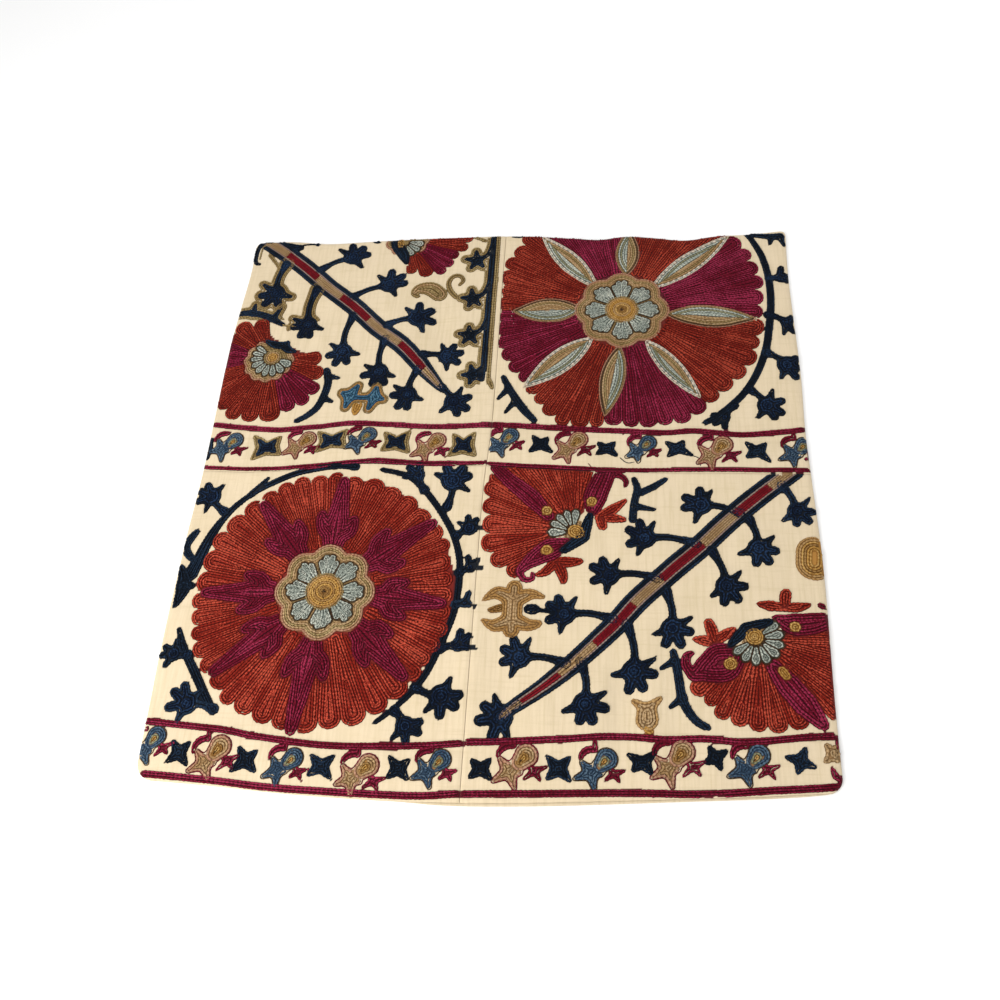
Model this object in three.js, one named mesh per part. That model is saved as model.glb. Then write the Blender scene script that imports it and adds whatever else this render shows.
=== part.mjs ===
// A crewel embroidered pillow cover, empty and lying on its back, face up.
// Millimetres, +Z up. Four embroidered front patches are sewn to each other and,
// all round the rim, to one plain back. The plan is measured from the middle of a
// nominal square; at the end the group is moved so that the middle of its plan
// stands over the origin and its underside lies at z = 0.
import * as THREE from 'three';

// Driving dimensions
const coverSize = 508; // nominal finished width and length
const frontThick = 2.0; // patch cloth with the yarn on it
const backThick = 1.3; // plain back cloth
const pieceGap = 0.3; // between any two pieces
const seamHeight = 2.0; // height of the rim seam above the floor
const frontTop = 4.7; // top of the front just inside the rim
const crownRise = 2.0; // how much higher the middle lies
const rimWidth = 5; // how far in the rim's roll reaches
const patchDip = 0.7; // dip of the front at the seams between patches
const patchDipWidth = 5;
const frontCell = 14; // size of the front's facets
const backCell = 36; // size of the back's facets
const rimSteps = [0, 0.5, 1.4, 2.8, rimWidth]; // distances in from the rim, over its roll
const patchSteps = [pieceGap / 2, 1.6, patchDipWidth]; // distances in from a patch seam

const half = coverSize / 2;
const seamX = -9; // nominal place of the seam between left and right patches
const seamY = 2; // nominal place of the seam between upper and lower patches

// Corner radii of the plan
const cornerRadius = { upperLeft: 8, upperRight: 6, lowerLeft: 13, lowerRight: 10 };

// The uneven edges and seams. Each row gives a place along the edge and where the
// edge lies there, in plan coordinates.
const leftEdge = [
  { along: -254, at: -257.5 }, { along: -215, at: -258 }, { along: -150, at: -259 },
  { along: -60, at: -258 }, { along: 0, at: -256 }, { along: 130, at: -256 },
  { along: 170, at: -254 }, { along: 220, at: -251 }, { along: 254, at: -252 },
];
const rightEdge = [
  { along: -254, at: 254 }, { along: -200, at: 254 }, { along: -80, at: 256 },
  { along: 0, at: 254 }, { along: 40, at: 253 }, { along: 100, at: 254 },
  { along: 200, at: 252 }, { along: 254, at: 253.5 },
];
const topEdge = [
  { along: -254, at: 257.5 }, { along: -215, at: 257.5 }, { along: -180, at: 254 },
  { along: -130, at: 256 }, { along: -60, at: 258 }, { along: 0, at: 258 },
  { along: 60, at: 253 }, { along: 80, at: 251 }, { along: 105, at: 254 },
  { along: 130, at: 252 }, { along: 160, at: 248 }, { along: 190, at: 252 },
  { along: 220, at: 253 }, { along: 254, at: 257 },
];
const bottomEdge = [
  { along: -254, at: -259.5 }, { along: -200, at: -262 }, { along: -140, at: -266 },
  { along: -80, at: -268 }, { along: -15, at: -268 }, { along: 40, at: -266 },
  { along: 100, at: -262.5 }, { along: 140, at: -260 }, { along: 200, at: -256 },
  { along: 254, at: -251.5 },
];
const uprightSeam = [
  { along: -254, at: -13 }, { along: -150, at: -12 }, { along: -20, at: -11 },
  { along: 20, at: -8.5 }, { along: 60, at: -7 }, { along: 254, at: -6 },
];
const levelSeam = [
  { along: -254, at: 2 }, { along: -200, at: 0 }, { along: -160, at: 3 },
  { along: -120, at: 8 }, { along: -60, at: 7 }, { along: -10, at: 5 },
  { along: 50, at: 2 }, { along: 100, at: 0 }, { along: 150, at: -1 },
  { along: 254, at: -1 },
];

// How far the back's rolled rim stands out under the front's bottom edge.
const backLip = [
  { along: -254, at: 0 }, { along: -60, at: 0 }, { along: -20, at: 1.8 },
  { along: 60, at: 2.2 }, { along: 150, at: 1.6 }, { along: 225, at: 1.2 },
  { along: 254, at: 0 },
];

// The lie of the front: soft ridges (rise over 0) and troughs, each with its middle,
// the turn of its long way in degrees from +X, its half length and half width.
const lie = [
  { x: -130, y: -110, turn: 0, length: 92, width: 86, rise: 2.4 }, // under the round rosette
  { x: 102, y: 155, turn: 0, length: 88, width: 84, rise: 2.1 }, // under the rayed rosette
  { x: -205, y: 105, turn: 80, length: 50, width: 38, rise: 1.5 },
  { x: 205, y: -160, turn: 60, length: 52, width: 40, rise: 1.7 },
  { x: 40, y: -52, turn: -30, length: 46, width: 34, rise: 1.4 },
  { x: -130, y: 20, turn: 4, length: 60, width: 26, rise: 2.1 }, // swell across the middle border
  { x: 20, y: 22, turn: 0, length: 70, width: 20, rise: 1.0 },
  { x: 190, y: 14, turn: 2, length: 50, width: 22, rise: 1.3 },
  { x: -11, y: -140, turn: 90, length: 90, width: 15, rise: 1.7 }, // turn-in under the seam
  { x: -7, y: 165, turn: 90, length: 80, width: 14, rise: 1.3 },
  { x: -62, y: 148, turn: 84, length: 34, width: 13, rise: -1.8 }, // crease in the upper left
  { x: -90, y: 158, turn: 76, length: 46, width: 19, rise: 1.8 },
  { x: 103, y: -192, turn: 92, length: 34, width: 12, rise: -1.7 }, // creases in the lower right
  { x: 84, y: -194, turn: 88, length: 32, width: 13, rise: 1.5 },
  { x: 124, y: -190, turn: 95, length: 34, width: 14, rise: 1.4 },
  { x: 44, y: -198, turn: 86, length: 30, width: 15, rise: 1.3 },
  { x: -240, y: -150, turn: 90, length: 60, width: 17, rise: 1.5 }, // along the left rim
  { x: -236, y: -18, turn: -32, length: 30, width: 15, rise: -1.3 },
  { x: -60, y: -205, turn: 40, length: 44, width: 24, rise: 1.3 },
  { x: -80, y: -245, turn: -3, length: 90, width: 15, rise: 1.1 },
  { x: 232, y: 130, turn: 88, length: 60, width: 16, rise: 1.0 },
  { x: 160, y: 236, turn: 0, length: 34, width: 18, rise: -1.1 }, // where the top edge draws in
];
const lowestRise = -0.4; // the front never sinks further than this below frontTop

// A smooth curve through a table's rows.
function curveThrough(rows, along) {
  let i = 0;
  while (i < rows.length - 2 && along > rows[i + 1].along) i += 1;
  const a = rows[i];
  const b = rows[i + 1];
  const before = rows[Math.max(i - 1, 0)];
  const after = rows[Math.min(i + 2, rows.length - 1)];
  const span = b.along - a.along;
  const t = Math.min(Math.max((along - a.along) / span, 0), 1);
  const slopeA = (b.at - before.at) / (b.along - before.along) * span;
  const slopeB = (after.at - a.at) / (after.along - a.along) * span;
  const t2 = t * t;
  const t3 = t2 * t;
  return a.at * (2 * t3 - 3 * t2 + 1) + slopeA * (t3 - 2 * t2 + t)
    + b.at * (3 * t2 - 2 * t3) + slopeB * (t3 - t2);
}

// Rounds a corner of the nominal square: the corner's own small square becomes a quarter disc.
function roundCorner(x, y) {
  const side = x < 0 ? 'Left' : 'Right';
  const r = cornerRadius[(y < 0 ? 'lower' : 'upper') + side];
  const a = (Math.abs(x) - (half - r)) / r;
  const b = (Math.abs(y) - (half - r)) / r;
  if (a <= 0 || b <= 0) return [x, y];
  const roundA = a * Math.sqrt(1 - b * b / 2);
  const roundB = b * Math.sqrt(1 - a * a / 2);
  return [Math.sign(x) * (half - r + r * roundA), Math.sign(y) * (half - r + r * roundB)];
}

// How far a point is shifted between two edges and the seam that lies between them.
function shiftBetween(place, low, seam, high, nominalSeam) {
  if (place < nominalSeam) {
    const t = (place + half) / (nominalSeam + half);
    return low * (1 - t) + seam * t;
  }
  const t = (place - nominalSeam) / (half - nominalSeam);
  return seam * (1 - t) + high * t;
}

// From the nominal square to the uneven plan of the real cover.
function planPoint(x, y) {
  const [rx, ry] = roundCorner(x, y);
  const shiftX = shiftBetween(rx, curveThrough(leftEdge, ry) + half,
    curveThrough(uprightSeam, ry) - seamX, curveThrough(rightEdge, ry) - half, seamX);
  const shiftY = shiftBetween(ry, curveThrough(bottomEdge, rx) + half,
    curveThrough(levelSeam, rx) - seamY, curveThrough(topEdge, rx) - half, seamY);
  return [rx + shiftX, ry + shiftY];
}

// Distance in from the rim of the nominal square.
function rimDistance(x, y) {
  return Math.min(half - Math.abs(x), half - Math.abs(y));
}

// A quarter round: 0 at the rim, 1 where the roll ends.
function roll(share) {
  const t = 1 - Math.min(Math.max(share, 0), 1);
  return Math.sqrt(1 - t * t);
}

// How high the front lies inside its rim.
function lieHeight(x, y) {
  const crown = crownRise * (1 - (x / half) ** 2) * (1 - (y / half) ** 2);
  let waves = 0;
  for (const w of lie) {
    const turn = THREE.MathUtils.degToRad(w.turn);
    const dx = x - w.x;
    const dy = y - w.y;
    const lengthwise = (dx * Math.cos(turn) + dy * Math.sin(turn)) / w.length;
    const across = (dy * Math.cos(turn) - dx * Math.sin(turn)) / w.width;
    waves += w.rise * Math.exp(-(lengthwise ** 2) - across ** 2);
  }
  return frontTop + Math.max(crown + waves, lowestRise);
}

// Pulls a nominal point in from the rim, for the inner face of a rolled edge.
function pullIn(place, thick) {
  const inward = half - Math.abs(place);
  if (inward >= rimWidth) return place;
  return Math.sign(place) * (half - (thick + inward * (rimWidth - thick) / rimWidth));
}

// Upper and under face of the front.
function frontUpper(x, y) {
  const [px, py] = planPoint(x, y);
  const foot = seamHeight + pieceGap / 2;
  const toSeam = Math.min(Math.abs(x - seamX), Math.abs(y - seamY));
  const dip = patchDip * (1 - roll(toSeam / patchDipWidth));
  const z = foot + (lieHeight(px, py) - foot) * roll(rimDistance(x, y) / rimWidth) - dip;
  return [px, py, Math.max(z, foot)];
}
function frontUnder(x, y) {
  const [px, py] = planPoint(pullIn(x, frontThick), pullIn(y, frontThick));
  const foot = seamHeight + pieceGap / 2;
  const room = lieHeight(px, py) - frontThick - foot;
  return [px, py, foot + room * roll(rimDistance(x, y) / rimWidth)];
}

// Upper and under face of the back.
function backUpper(x, y) {
  const [px, py] = planPoint(pullIn(x, backThick), pullIn(y, backThick));
  const head = seamHeight - pieceGap / 2;
  return [px, py, head + (backThick - head) * roll(rimDistance(x, y) / rimWidth)];
}
function backUnder(x, y) {
  const [px, py] = planPoint(x, y);
  const head = seamHeight - pieceGap / 2;
  const share = (y + half) / rimWidth;
  const lip = share < 1 ? curveThrough(backLip, px) * Math.sin(Math.PI * Math.sqrt(share)) : 0;
  return [px, py - lip, head * (1 - roll(rimDistance(x, y) / rimWidth))];
}

// Even steps between two places, about one cell apart.
function evenSteps(from, to, cell) {
  const count = Math.max(Math.round((to - from) / cell), 1);
  return Array.from({ length: count - 1 }, (_, i) => from + (to - from) * (i + 1) / count);
}

// Grid lines of a patch from the rim to a patch seam; sign says on which side the rim is.
function patchLines(sign, seam) {
  const rim = rimSteps.map((d) => sign * (half - d));
  const atSeam = patchSteps.map((d) => seam + sign * d);
  const inner = sign * rim[rim.length - 1];
  const outer = sign * atSeam[atSeam.length - 1];
  const middle = evenSteps(outer, inner, frontCell).map((d) => sign * d);
  return [...rim, ...middle, ...atSeam].sort((a, b) => a - b);
}

// Grid lines of the back from rim to rim.
function backLines() {
  const rim = rimSteps.map((d) => half - d);
  const middle = evenSteps(rimWidth - half, half - rimWidth, backCell);
  return [...rim.map((d) => -d), ...middle, ...rim].sort((a, b) => a - b);
}

// One closed sheet: an upper and an under face on the same grid, joined by a wall all round.
function sheet(columns, rows, upper, under) {
  const across = columns.length;
  const up = rows.length;
  const points = [];
  for (const face of [upper, under]) {
    for (const y of rows) {
      for (const x of columns) points.push(...face(x, y));
    }
  }
  const faces = [];
  const layer = across * up;
  const quad = (a, b, c, d) => faces.push(a, b, c, a, c, d);
  for (let j = 0; j < up - 1; j += 1) {
    for (let i = 0; i < across - 1; i += 1) {
      const a = j * across + i;
      const b = a + 1;
      const c = b + across;
      const d = a + across;
      quad(a, b, c, d);
      quad(layer + a, layer + d, layer + c, layer + b);
    }
  }
  const loop = [];
  for (let i = 0; i < across - 1; i += 1) loop.push(i);
  for (let j = 0; j < up - 1; j += 1) loop.push(j * across + across - 1);
  for (let i = across - 1; i > 0; i -= 1) loop.push((up - 1) * across + i);
  for (let j = up - 1; j > 0; j -= 1) loop.push(j * across);
  loop.forEach((a, i) => {
    const b = loop[(i + 1) % loop.length];
    quad(layer + a, layer + b, b, a);
  });
  const geometry = new THREE.BufferGeometry();
  geometry.setAttribute('position', new THREE.Float32BufferAttribute(points, 3));
  geometry.setIndex(faces);
  geometry.computeVertexNormals();
  return geometry;
}

// Materials: cream cotton, a little warmer on the worked front.
const frontCloth = { color: 0xe9dcb6, roughness: 0.92, metalness: 0 };
const backCloth = { color: 0xe6dbbd, roughness: 0.95, metalness: 0 };

function frontPatch(name, sideX, sideY) {
  const geometry = sheet(patchLines(sideX, seamX), patchLines(sideY, seamY), frontUpper, frontUnder);
  const mesh = new THREE.Mesh(geometry, new THREE.MeshStandardMaterial(frontCloth));
  mesh.name = name;
  return mesh;
}

function backPanel() {
  const geometry = sheet(backLines(), backLines(), backUpper, backUnder);
  const mesh = new THREE.Mesh(geometry, new THREE.MeshStandardMaterial(backCloth));
  mesh.name = 'back_panel';
  return mesh;
}

const cover = new THREE.Group();
cover.add(
  frontPatch('front_upper_left', -1, 1),
  frontPatch('front_upper_right', 1, 1),
  frontPatch('front_lower_left', -1, -1),
  frontPatch('front_lower_right', 1, -1),
  backPanel(),
);

// The middle of the plan goes over the origin.
const box = new THREE.Box3().setFromObject(cover);
const middle = box.getCenter(new THREE.Vector3());
cover.position.set(-middle.x, -middle.y, -box.min.z);

export default cover;
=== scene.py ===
import math
import bpy
import numpy as np
from mathutils import Matrix, Vector


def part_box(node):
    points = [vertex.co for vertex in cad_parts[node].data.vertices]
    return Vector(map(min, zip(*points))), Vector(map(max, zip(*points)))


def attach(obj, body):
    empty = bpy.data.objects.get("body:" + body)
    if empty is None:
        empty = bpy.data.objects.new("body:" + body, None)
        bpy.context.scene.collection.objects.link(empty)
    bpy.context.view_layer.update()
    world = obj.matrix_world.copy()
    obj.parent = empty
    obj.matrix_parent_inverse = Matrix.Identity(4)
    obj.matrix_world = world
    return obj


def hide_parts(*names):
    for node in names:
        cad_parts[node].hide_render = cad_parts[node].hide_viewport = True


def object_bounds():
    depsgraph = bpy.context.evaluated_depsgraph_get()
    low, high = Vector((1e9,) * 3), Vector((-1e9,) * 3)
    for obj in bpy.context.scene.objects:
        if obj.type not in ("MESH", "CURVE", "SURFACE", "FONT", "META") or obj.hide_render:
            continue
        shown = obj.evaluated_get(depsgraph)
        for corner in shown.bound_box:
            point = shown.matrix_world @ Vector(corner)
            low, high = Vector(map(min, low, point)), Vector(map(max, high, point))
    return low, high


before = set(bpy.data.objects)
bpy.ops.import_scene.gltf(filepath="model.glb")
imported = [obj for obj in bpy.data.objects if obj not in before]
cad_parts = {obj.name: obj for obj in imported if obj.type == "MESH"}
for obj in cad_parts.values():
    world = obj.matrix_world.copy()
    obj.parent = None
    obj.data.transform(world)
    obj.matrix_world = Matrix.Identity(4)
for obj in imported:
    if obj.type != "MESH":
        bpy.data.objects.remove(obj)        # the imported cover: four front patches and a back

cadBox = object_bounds()
mm = 0.001

# Everything on the cover is placed in plan millimetres, measured from the middle of a
# nominal square with +Y towards the top edge, and moved to the frame at the very end.
cover = {
    "size": 508.0,           # nominal width and length
    "seamX": -9.0,           # nominal seam between left and right patches
    "seamY": 2.0,            # nominal seam between upper and lower patches
    "frontTop": 4.7,         # top of the worked front just inside the rim
    "crownRise": 2.0,        # how much higher the middle lies
    "lowestRise": -0.4,      # and how far the deepest trough lies under the rim
    "seamHeight": 2.0,       # height of the rim seam
    "rimWidth": 5.0,         # reach of the rim's roll
    "patchDip": 0.7,         # depth of the dip along the seams between patches
    "patchDipWidth": 5.0,    # and its width to each side
    "pieceGap": 0.3,         # room for the sewing thread between two pieces of cloth
    "backThick": 1.3,
    "yarnRise": 0.85,        # the yarn stands this far above its cloth
    "clothThick": 0.9,
}
half = cover["size"] / 2
cornerRadius = {(-1, 1): 8.0, (1, 1): 6.0, (-1, -1): 13.0, (1, -1): 10.0}

# Uneven edges and seams, as (place along the edge, where the edge lies there).
leftEdge = [(-254, -257.5), (-215, -258), (-150, -259), (-60, -258), (0, -256),
            (130, -256), (170, -254), (220, -251), (254, -252)]
rightEdge = [(-254, 254), (-200, 254), (-80, 256), (0, 254), (40, 253), (100, 254),
             (200, 252), (254, 253.5)]
topEdge = [(-254, 257.5), (-215, 257.5), (-180, 254), (-130, 256), (-60, 258), (0, 258),
           (60, 253), (80, 251), (105, 254), (130, 252), (160, 248), (190, 252),
           (220, 253), (254, 257)]
bottomEdge = [(-254, -259.5), (-200, -262), (-140, -266), (-80, -268), (-15, -268),
              (40, -266), (100, -262.5), (140, -260), (200, -256), (254, -251.5)]
uprightSeam = [(-254, -13), (-150, -12), (-20, -11), (20, -8.5), (60, -7), (254, -6)]
levelSeam = [(-254, 2), (-200, 0), (-160, 3), (-120, 8), (-60, 7), (-10, 5), (50, 2),
             (100, 0), (150, -1), (254, -1)]
backLip = [(-254, 0), (-60, 0), (-20, 1.8), (60, 2.2), (150, 1.6), (225, 1.2), (254, 0)]

# Soft ridges and troughs of the front: x, y, turn of the long way, half length, half width, rise.
lie = [
    (-130, -110, 0, 92, 86, 2.4), (102, 155, 0, 88, 84, 2.1), (-205, 105, 80, 50, 38, 1.5),
    (205, -160, 60, 52, 40, 1.7), (40, -52, -30, 46, 34, 1.4), (-130, 20, 4, 60, 26, 2.1),
    (20, 22, 0, 70, 20, 1.0), (190, 14, 2, 50, 22, 1.3), (-11, -140, 90, 90, 15, 1.7),
    (-7, 165, 90, 80, 14, 1.3), (-62, 148, 84, 34, 13, -1.8), (-90, 158, 76, 46, 19, 1.8),
    (103, -192, 92, 34, 12, -1.7), (84, -194, 88, 32, 13, 1.5), (124, -190, 95, 34, 14, 1.4),
    (44, -198, 86, 30, 15, 1.3), (-240, -150, 90, 60, 17, 1.5), (-236, -18, -32, 30, 15, -1.3),
    (-60, -205, 40, 44, 24, 1.3), (-80, -245, -3, 90, 15, 1.1), (232, 130, 88, 60, 16, 1.0),
    (160, 236, 0, 34, 18, -1.1),
]


def curveThrough(rows, along):
    # a smooth line through rows of (place, value), read at some places
    rows = np.asarray(rows, float)
    s = np.asarray(along, float)
    last = len(rows) - 1
    i = np.clip(np.searchsorted(rows[:, 0], s) - 1, 0, last - 1)
    a, b = rows[i], rows[i + 1]
    before, after = rows[np.maximum(i - 1, 0)], rows[np.minimum(i + 2, last)]
    span = b[..., 0] - a[..., 0]
    t = np.clip((s - a[..., 0]) / span, 0, 1)
    slopeA = (b[..., 1] - before[..., 1]) / (b[..., 0] - before[..., 0]) * span
    slopeB = (after[..., 1] - a[..., 1]) / (after[..., 0] - a[..., 0]) * span
    return (a[..., 1] * (2 * t**3 - 3 * t**2 + 1) + slopeA * (t**3 - 2 * t**2 + t)
            + b[..., 1] * (3 * t**2 - 2 * t**3) + slopeB * (t**3 - t**2))


def roundCorner(x, y):
    # a corner's own small square becomes a quarter disc
    x, y = np.asarray(x, float), np.asarray(y, float)
    roundX, roundY = x.copy(), y.copy()
    for (sx, sy), r in cornerRadius.items():
        a = (sx * x - (half - r)) / r
        b = (sy * y - (half - r)) / r
        inside = (a > 0) & (b > 0)
        bendA = a * np.sqrt(np.maximum(1 - b * b / 2, 0.02))
        bendB = b * np.sqrt(np.maximum(1 - a * a / 2, 0.02))
        roundX = np.where(inside, sx * (half - r + r * bendA), roundX)
        roundY = np.where(inside, sy * (half - r + r * bendB), roundY)
    return roundX, roundY


def shiftBetween(place, low, seam, high, nominalSeam):
    # how far a place moves, between the shifts of two edges and of the seam between them
    t = (place + half) / (nominalSeam + half)
    u = (place - nominalSeam) / (half - nominalSeam)
    return np.where(place < nominalSeam, low * (1 - t) + seam * t, seam * (1 - u) + high * u)


def planPoint(x, y):
    # from the nominal square to the uneven plan of the real cover
    rx, ry = roundCorner(x, y)
    shiftX = shiftBetween(rx, curveThrough(leftEdge, ry) + half,
                          curveThrough(uprightSeam, ry) - cover["seamX"],
                          curveThrough(rightEdge, ry) - half, cover["seamX"])
    shiftY = shiftBetween(ry, curveThrough(bottomEdge, rx) + half,
                          curveThrough(levelSeam, rx) - cover["seamY"],
                          curveThrough(topEdge, rx) - half, cover["seamY"])
    return rx + shiftX, ry + shiftY


def nominalPoint(px, py):
    # the way back, by repeated correction
    x, y = np.array(px, float), np.array(py, float)
    for _ in range(9):
        qx, qy = planPoint(x, y)
        x, y = x + (px - qx), y + (py - qy)
    return x, y


def rimDistance(x, y):
    return np.minimum(half - np.abs(x), half - np.abs(y))


def roll(share):
    # the round of a rim, from 0 at the seam to 1 at its inner end
    t = 1 - np.clip(share, 0, 1)
    return np.sqrt(1 - t * t)


def lieHeight(x, y):
    # how high the worked front lies over a plan point, rim roll apart
    crown = cover["crownRise"] * (1 - (x / half) ** 2) * (1 - (y / half) ** 2)
    waves = 0.0
    for cx, cy, turn, length, width, rise in lie:
        c, s = math.cos(math.radians(turn)), math.sin(math.radians(turn))
        dx, dy = x - cx, y - cy
        waves = waves + rise * np.exp(-((dx * c + dy * s) / length) ** 2
                                      - ((dy * c - dx * s) / width) ** 2)
    return cover["frontTop"] + np.maximum(crown + waves, cover["lowestRise"])


# Small unevenness of hand-worked cloth, a few tenths of a millimetre.
unevenness = {
    "seed": 11,
    "waves": 14,
    "reach": (14, 46),       # the waves' lengths lie between these
    "steep": 0.0022,         # a wave's height over its length
}


def wrinkles(x, y):
    draw = np.random.RandomState(unevenness["seed"])
    total = 0.0
    for _ in range(unevenness["waves"]):
        reach = draw.uniform(*unevenness["reach"])
        turn = draw.uniform(0, math.pi)
        start = draw.uniform(0, 2 * math.pi)
        way = (x * math.cos(turn) + y * math.sin(turn)) / reach
        total = total + np.sin(2 * math.pi * way + start) * reach * unevenness["steep"]
    return total


def clothTop(x, y):
    # height of the cloth's upper face over a nominal point, without the yarn
    px, py = planPoint(x, y)
    foot = cover["seamHeight"] + cover["pieceGap"] / 2
    toSeam = np.minimum(np.abs(x - cover["seamX"]), np.abs(y - cover["seamY"]))
    dip = cover["patchDip"] * (1 - roll(toSeam / cover["patchDipWidth"]))
    inner = lieHeight(px, py) - cover["yarnRise"] + wrinkles(px, py) - foot
    return np.maximum(foot + inner * roll(rimDistance(x, y) / cover["rimWidth"]) - dip, foot)


def shiftOfFrame():
    # the frame stands with the middle of the plan over the origin
    along = np.linspace(-half + 14, half - 14, 400)
    top = planPoint(along, np.full(400, half))[1].max()
    low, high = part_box("back_panel")
    left = planPoint(np.full(400, -half), along)[0].min()
    right = planPoint(np.full(400, half), along)[0].max()
    shiftX = ((low.x + high.x) / 2) / mm - (left + right) / 2
    shiftY = high.y / mm - top
    return shiftX, shiftY


planShift = shiftOfFrame()
print("plan shift in mm:", [round(s, 3) for s in planShift])


# Chain stitch. A motif is a field: a function of plan x and y that gives the distance to the
# motif's edge in millimetres, less than zero inside it, together with the box it lies in.
stitch = {
    "pitch": 2.0,            # from one row to the next
    "step": 1.55,            # half the length of a stitch
    "smallLoop": 5.0,        # closed turns shorter than this become one stitch
    "shortest": 0.9,         # half the length of that stitch, at least
    "overlap": 1.1,          # a row's width over its pitch
    "leastRoom": 0.28,       # a row reaches inwards by at least this share of its pitch
    "lobeEnd": 0.4,          # length of a lobe's round end over its width
    "leastDepth": 0.3,       # a motif that is nowhere deeper than this has no row
    "dashStep": 0.8,         # fineness of the short running stitches
    "cell": 0.5,             # fineness of the search for rows
    "paintDepth": 1.0,       # the cloth takes the wool's colour this far inside a motif
}
draws = np.random.RandomState(5)
rows = []                # every row of stitches: yarn, plan points, width, rise, shade, patch
bench = {"patch": None}  # the patch that is being worked, or none for the whole front
paintSize = 600          # the cloth's own colour map, one cell a millimetre
paint = np.full((paintSize, paintSize), -1, int)
yarnNames = []
patches = {
    "upper_left": (-1, 1), "upper_right": (1, 1), "lower_left": (-1, -1), "lower_right": (1, -1),
}


def inPatch(px, py, name):
    # whether a plan point lies in a patch
    x, y = nominalPoint(px, py)
    sideX, sideY = patches[name]
    return ((x - cover["seamX"]) * sideX > 0) & ((y - cover["seamY"]) * sideY > 0)


def paintGrid(i0, i1, j0, j1):
    # plan places of the colour map's cells, from one column and row to another
    return np.meshgrid(np.arange(i0, i1) - paintSize / 2, np.arange(j0, j1) - paintSize / 2)


patchCells = {name: inPatch(*paintGrid(0, paintSize, 0, paintSize), name) for name in patches}


def curve(points, step=1.2):
    # a smooth line through a few points
    p = np.asarray(points, float)
    if len(p) == 2:
        count = max(int(np.hypot(*(p[1] - p[0])) / step), 1)
        return p[0] + (p[1] - p[0]) * np.linspace(0, 1, count + 1)[:, None]
    out = []
    for i in range(len(p) - 1):
        a, b, c, d = p[max(i - 1, 0)], p[i], p[i + 1], p[min(i + 2, len(p) - 1)]
        count = max(int(np.hypot(*(c - b)) / step), 2)
        t = np.linspace(0, 1, count, endpoint=False)[:, None]
        out.append(0.5 * (2 * b + (c - a) * t + (2 * a - 5 * b + 4 * c - d) * t**2
                          + (3 * b - a - 3 * c + d) * t**3))
    return np.concatenate(out + [p[-1:]])


def boxOf(points, margin):
    # the box round some points, with room on every side
    p = np.asarray(points, float)
    low, high = p.min(0) - margin, p.max(0) + margin
    return low[0], low[1], high[0], high[1]


def softMin(a, b, reach):
    # the lesser of two distances, blended where they are alike
    h = np.clip(0.5 + 0.5 * (b - a) / reach, 0, 1)
    return b * (1 - h) + a * h - reach * h * (1 - h)


def offStraight(x, y, ax, ay, bx, by):
    # how far along a straight line a place lies, as a share, and how far off it each way
    dx, dy = bx - ax, by - ay
    t = np.clip(((x - ax) * dx + (y - ay) * dy) / max(dx * dx + dy * dy, 1e-9), 0, 1)
    return t, x - ax - dx * t, y - ay - dy * t


def strokes(parts, soft=1.5):
    # limbs with round ends, each (x, y, radius, x, y, radius), run together softly; a bent
    # limb is a list of such pieces
    limbs = [part if isinstance(part, list) else [part] for part in parts]

    def field(x, y):
        total = None
        for pieces in limbs:
            near = None
            for ax, ay, ar, bx, by, br in pieces:
                t, offX, offY = offStraight(x, y, ax, ay, bx, by)
                d = np.hypot(offX, offY) - (ar + (br - ar) * t)
                near = d if near is None else np.minimum(near, d)
            total = near if total is None else softMin(total, near, soft)
        return total
    flat = [piece for pieces in limbs for piece in pieces]
    ends = [p[:2] for p in flat] + [p[3:5] for p in flat]
    widest = max(max(p[2], p[5]) for p in flat)
    return {"field": field, "box": boxOf(ends, widest + 1.5)}


def limb(points, radii):
    # one bent limb through several points
    p = curve(points, step=3.0)
    r = np.interp(np.linspace(0, 1, len(p)), np.linspace(0, 1, len(radii)), radii)
    return [[(*p[i], r[i], *p[i + 1], r[i + 1]) for i in range(len(p) - 1)]]


def bent(*lines, soft=1.5):
    # bent limbs run together softly, each with its places and its half widths
    return strokes(sum([limb(*line) for line in lines], []), soft)


def outline(points):
    # a closed outline
    p = np.asarray(points, float)
    q = np.roll(p, -1, 0)

    def field(x, y):
        x, y = np.asarray(x, float), np.asarray(y, float)
        near = np.full(x.shape, 1e9)
        inside = np.zeros(x.shape, bool)
        for (ax, ay), (bx, by) in zip(p, q):
            t, offX, offY = offStraight(x, y, ax, ay, bx, by)
            near = np.minimum(near, offX ** 2 + offY ** 2)
            crosses = (ay > y) != (by > y)
            inside ^= crosses & (x < (bx - ax) * (y - ay) / ((by - ay) or 1e-9) + ax)
        return np.where(inside, -1, 1) * np.sqrt(near)
    return {"field": field, "box": boxOf(p, 1.5)}


def lobed(cx, cy, radius, lobes=0, depth=0.0):
    # a round form, with a scalloped rim if it has lobes
    def field(x, y):
        dx, dy = x - cx, y - cy
        scallop = np.abs(np.cos(np.arctan2(dy, dx) * lobes / 2)) if lobes else 1.0
        return np.hypot(dx, dy) - radius + depth * (1 - scallop)
    return {"field": field, "box": boxOf([(cx, cy)], radius + 1.5)}


def both(first, second):
    # the joined form of two motifs
    a, b = first["box"], second["box"]
    return {
        "field": lambda x, y: np.minimum(first["field"](x, y), second["field"](x, y)),
        "box": (min(a[0], b[0]), min(a[1], b[1]), max(a[2], b[2]), max(a[3], b[3])),
    }


# Which sides of a small square a line joins, by the square's corners that lie inside: corners
# count 1, 2, 4, 8 and sides 0 to 3, both anticlockwise from the lower left. A sum that isn't
# here is the same as 15 less it.
sidesJoined = {1: [(3, 0)], 2: [(0, 1)], 3: [(3, 1)], 4: [(1, 2)], 5: [(3, 2), (0, 1)],
               6: [(0, 2)], 7: [(3, 2)], 10: [(3, 0), (1, 2)]}


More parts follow.
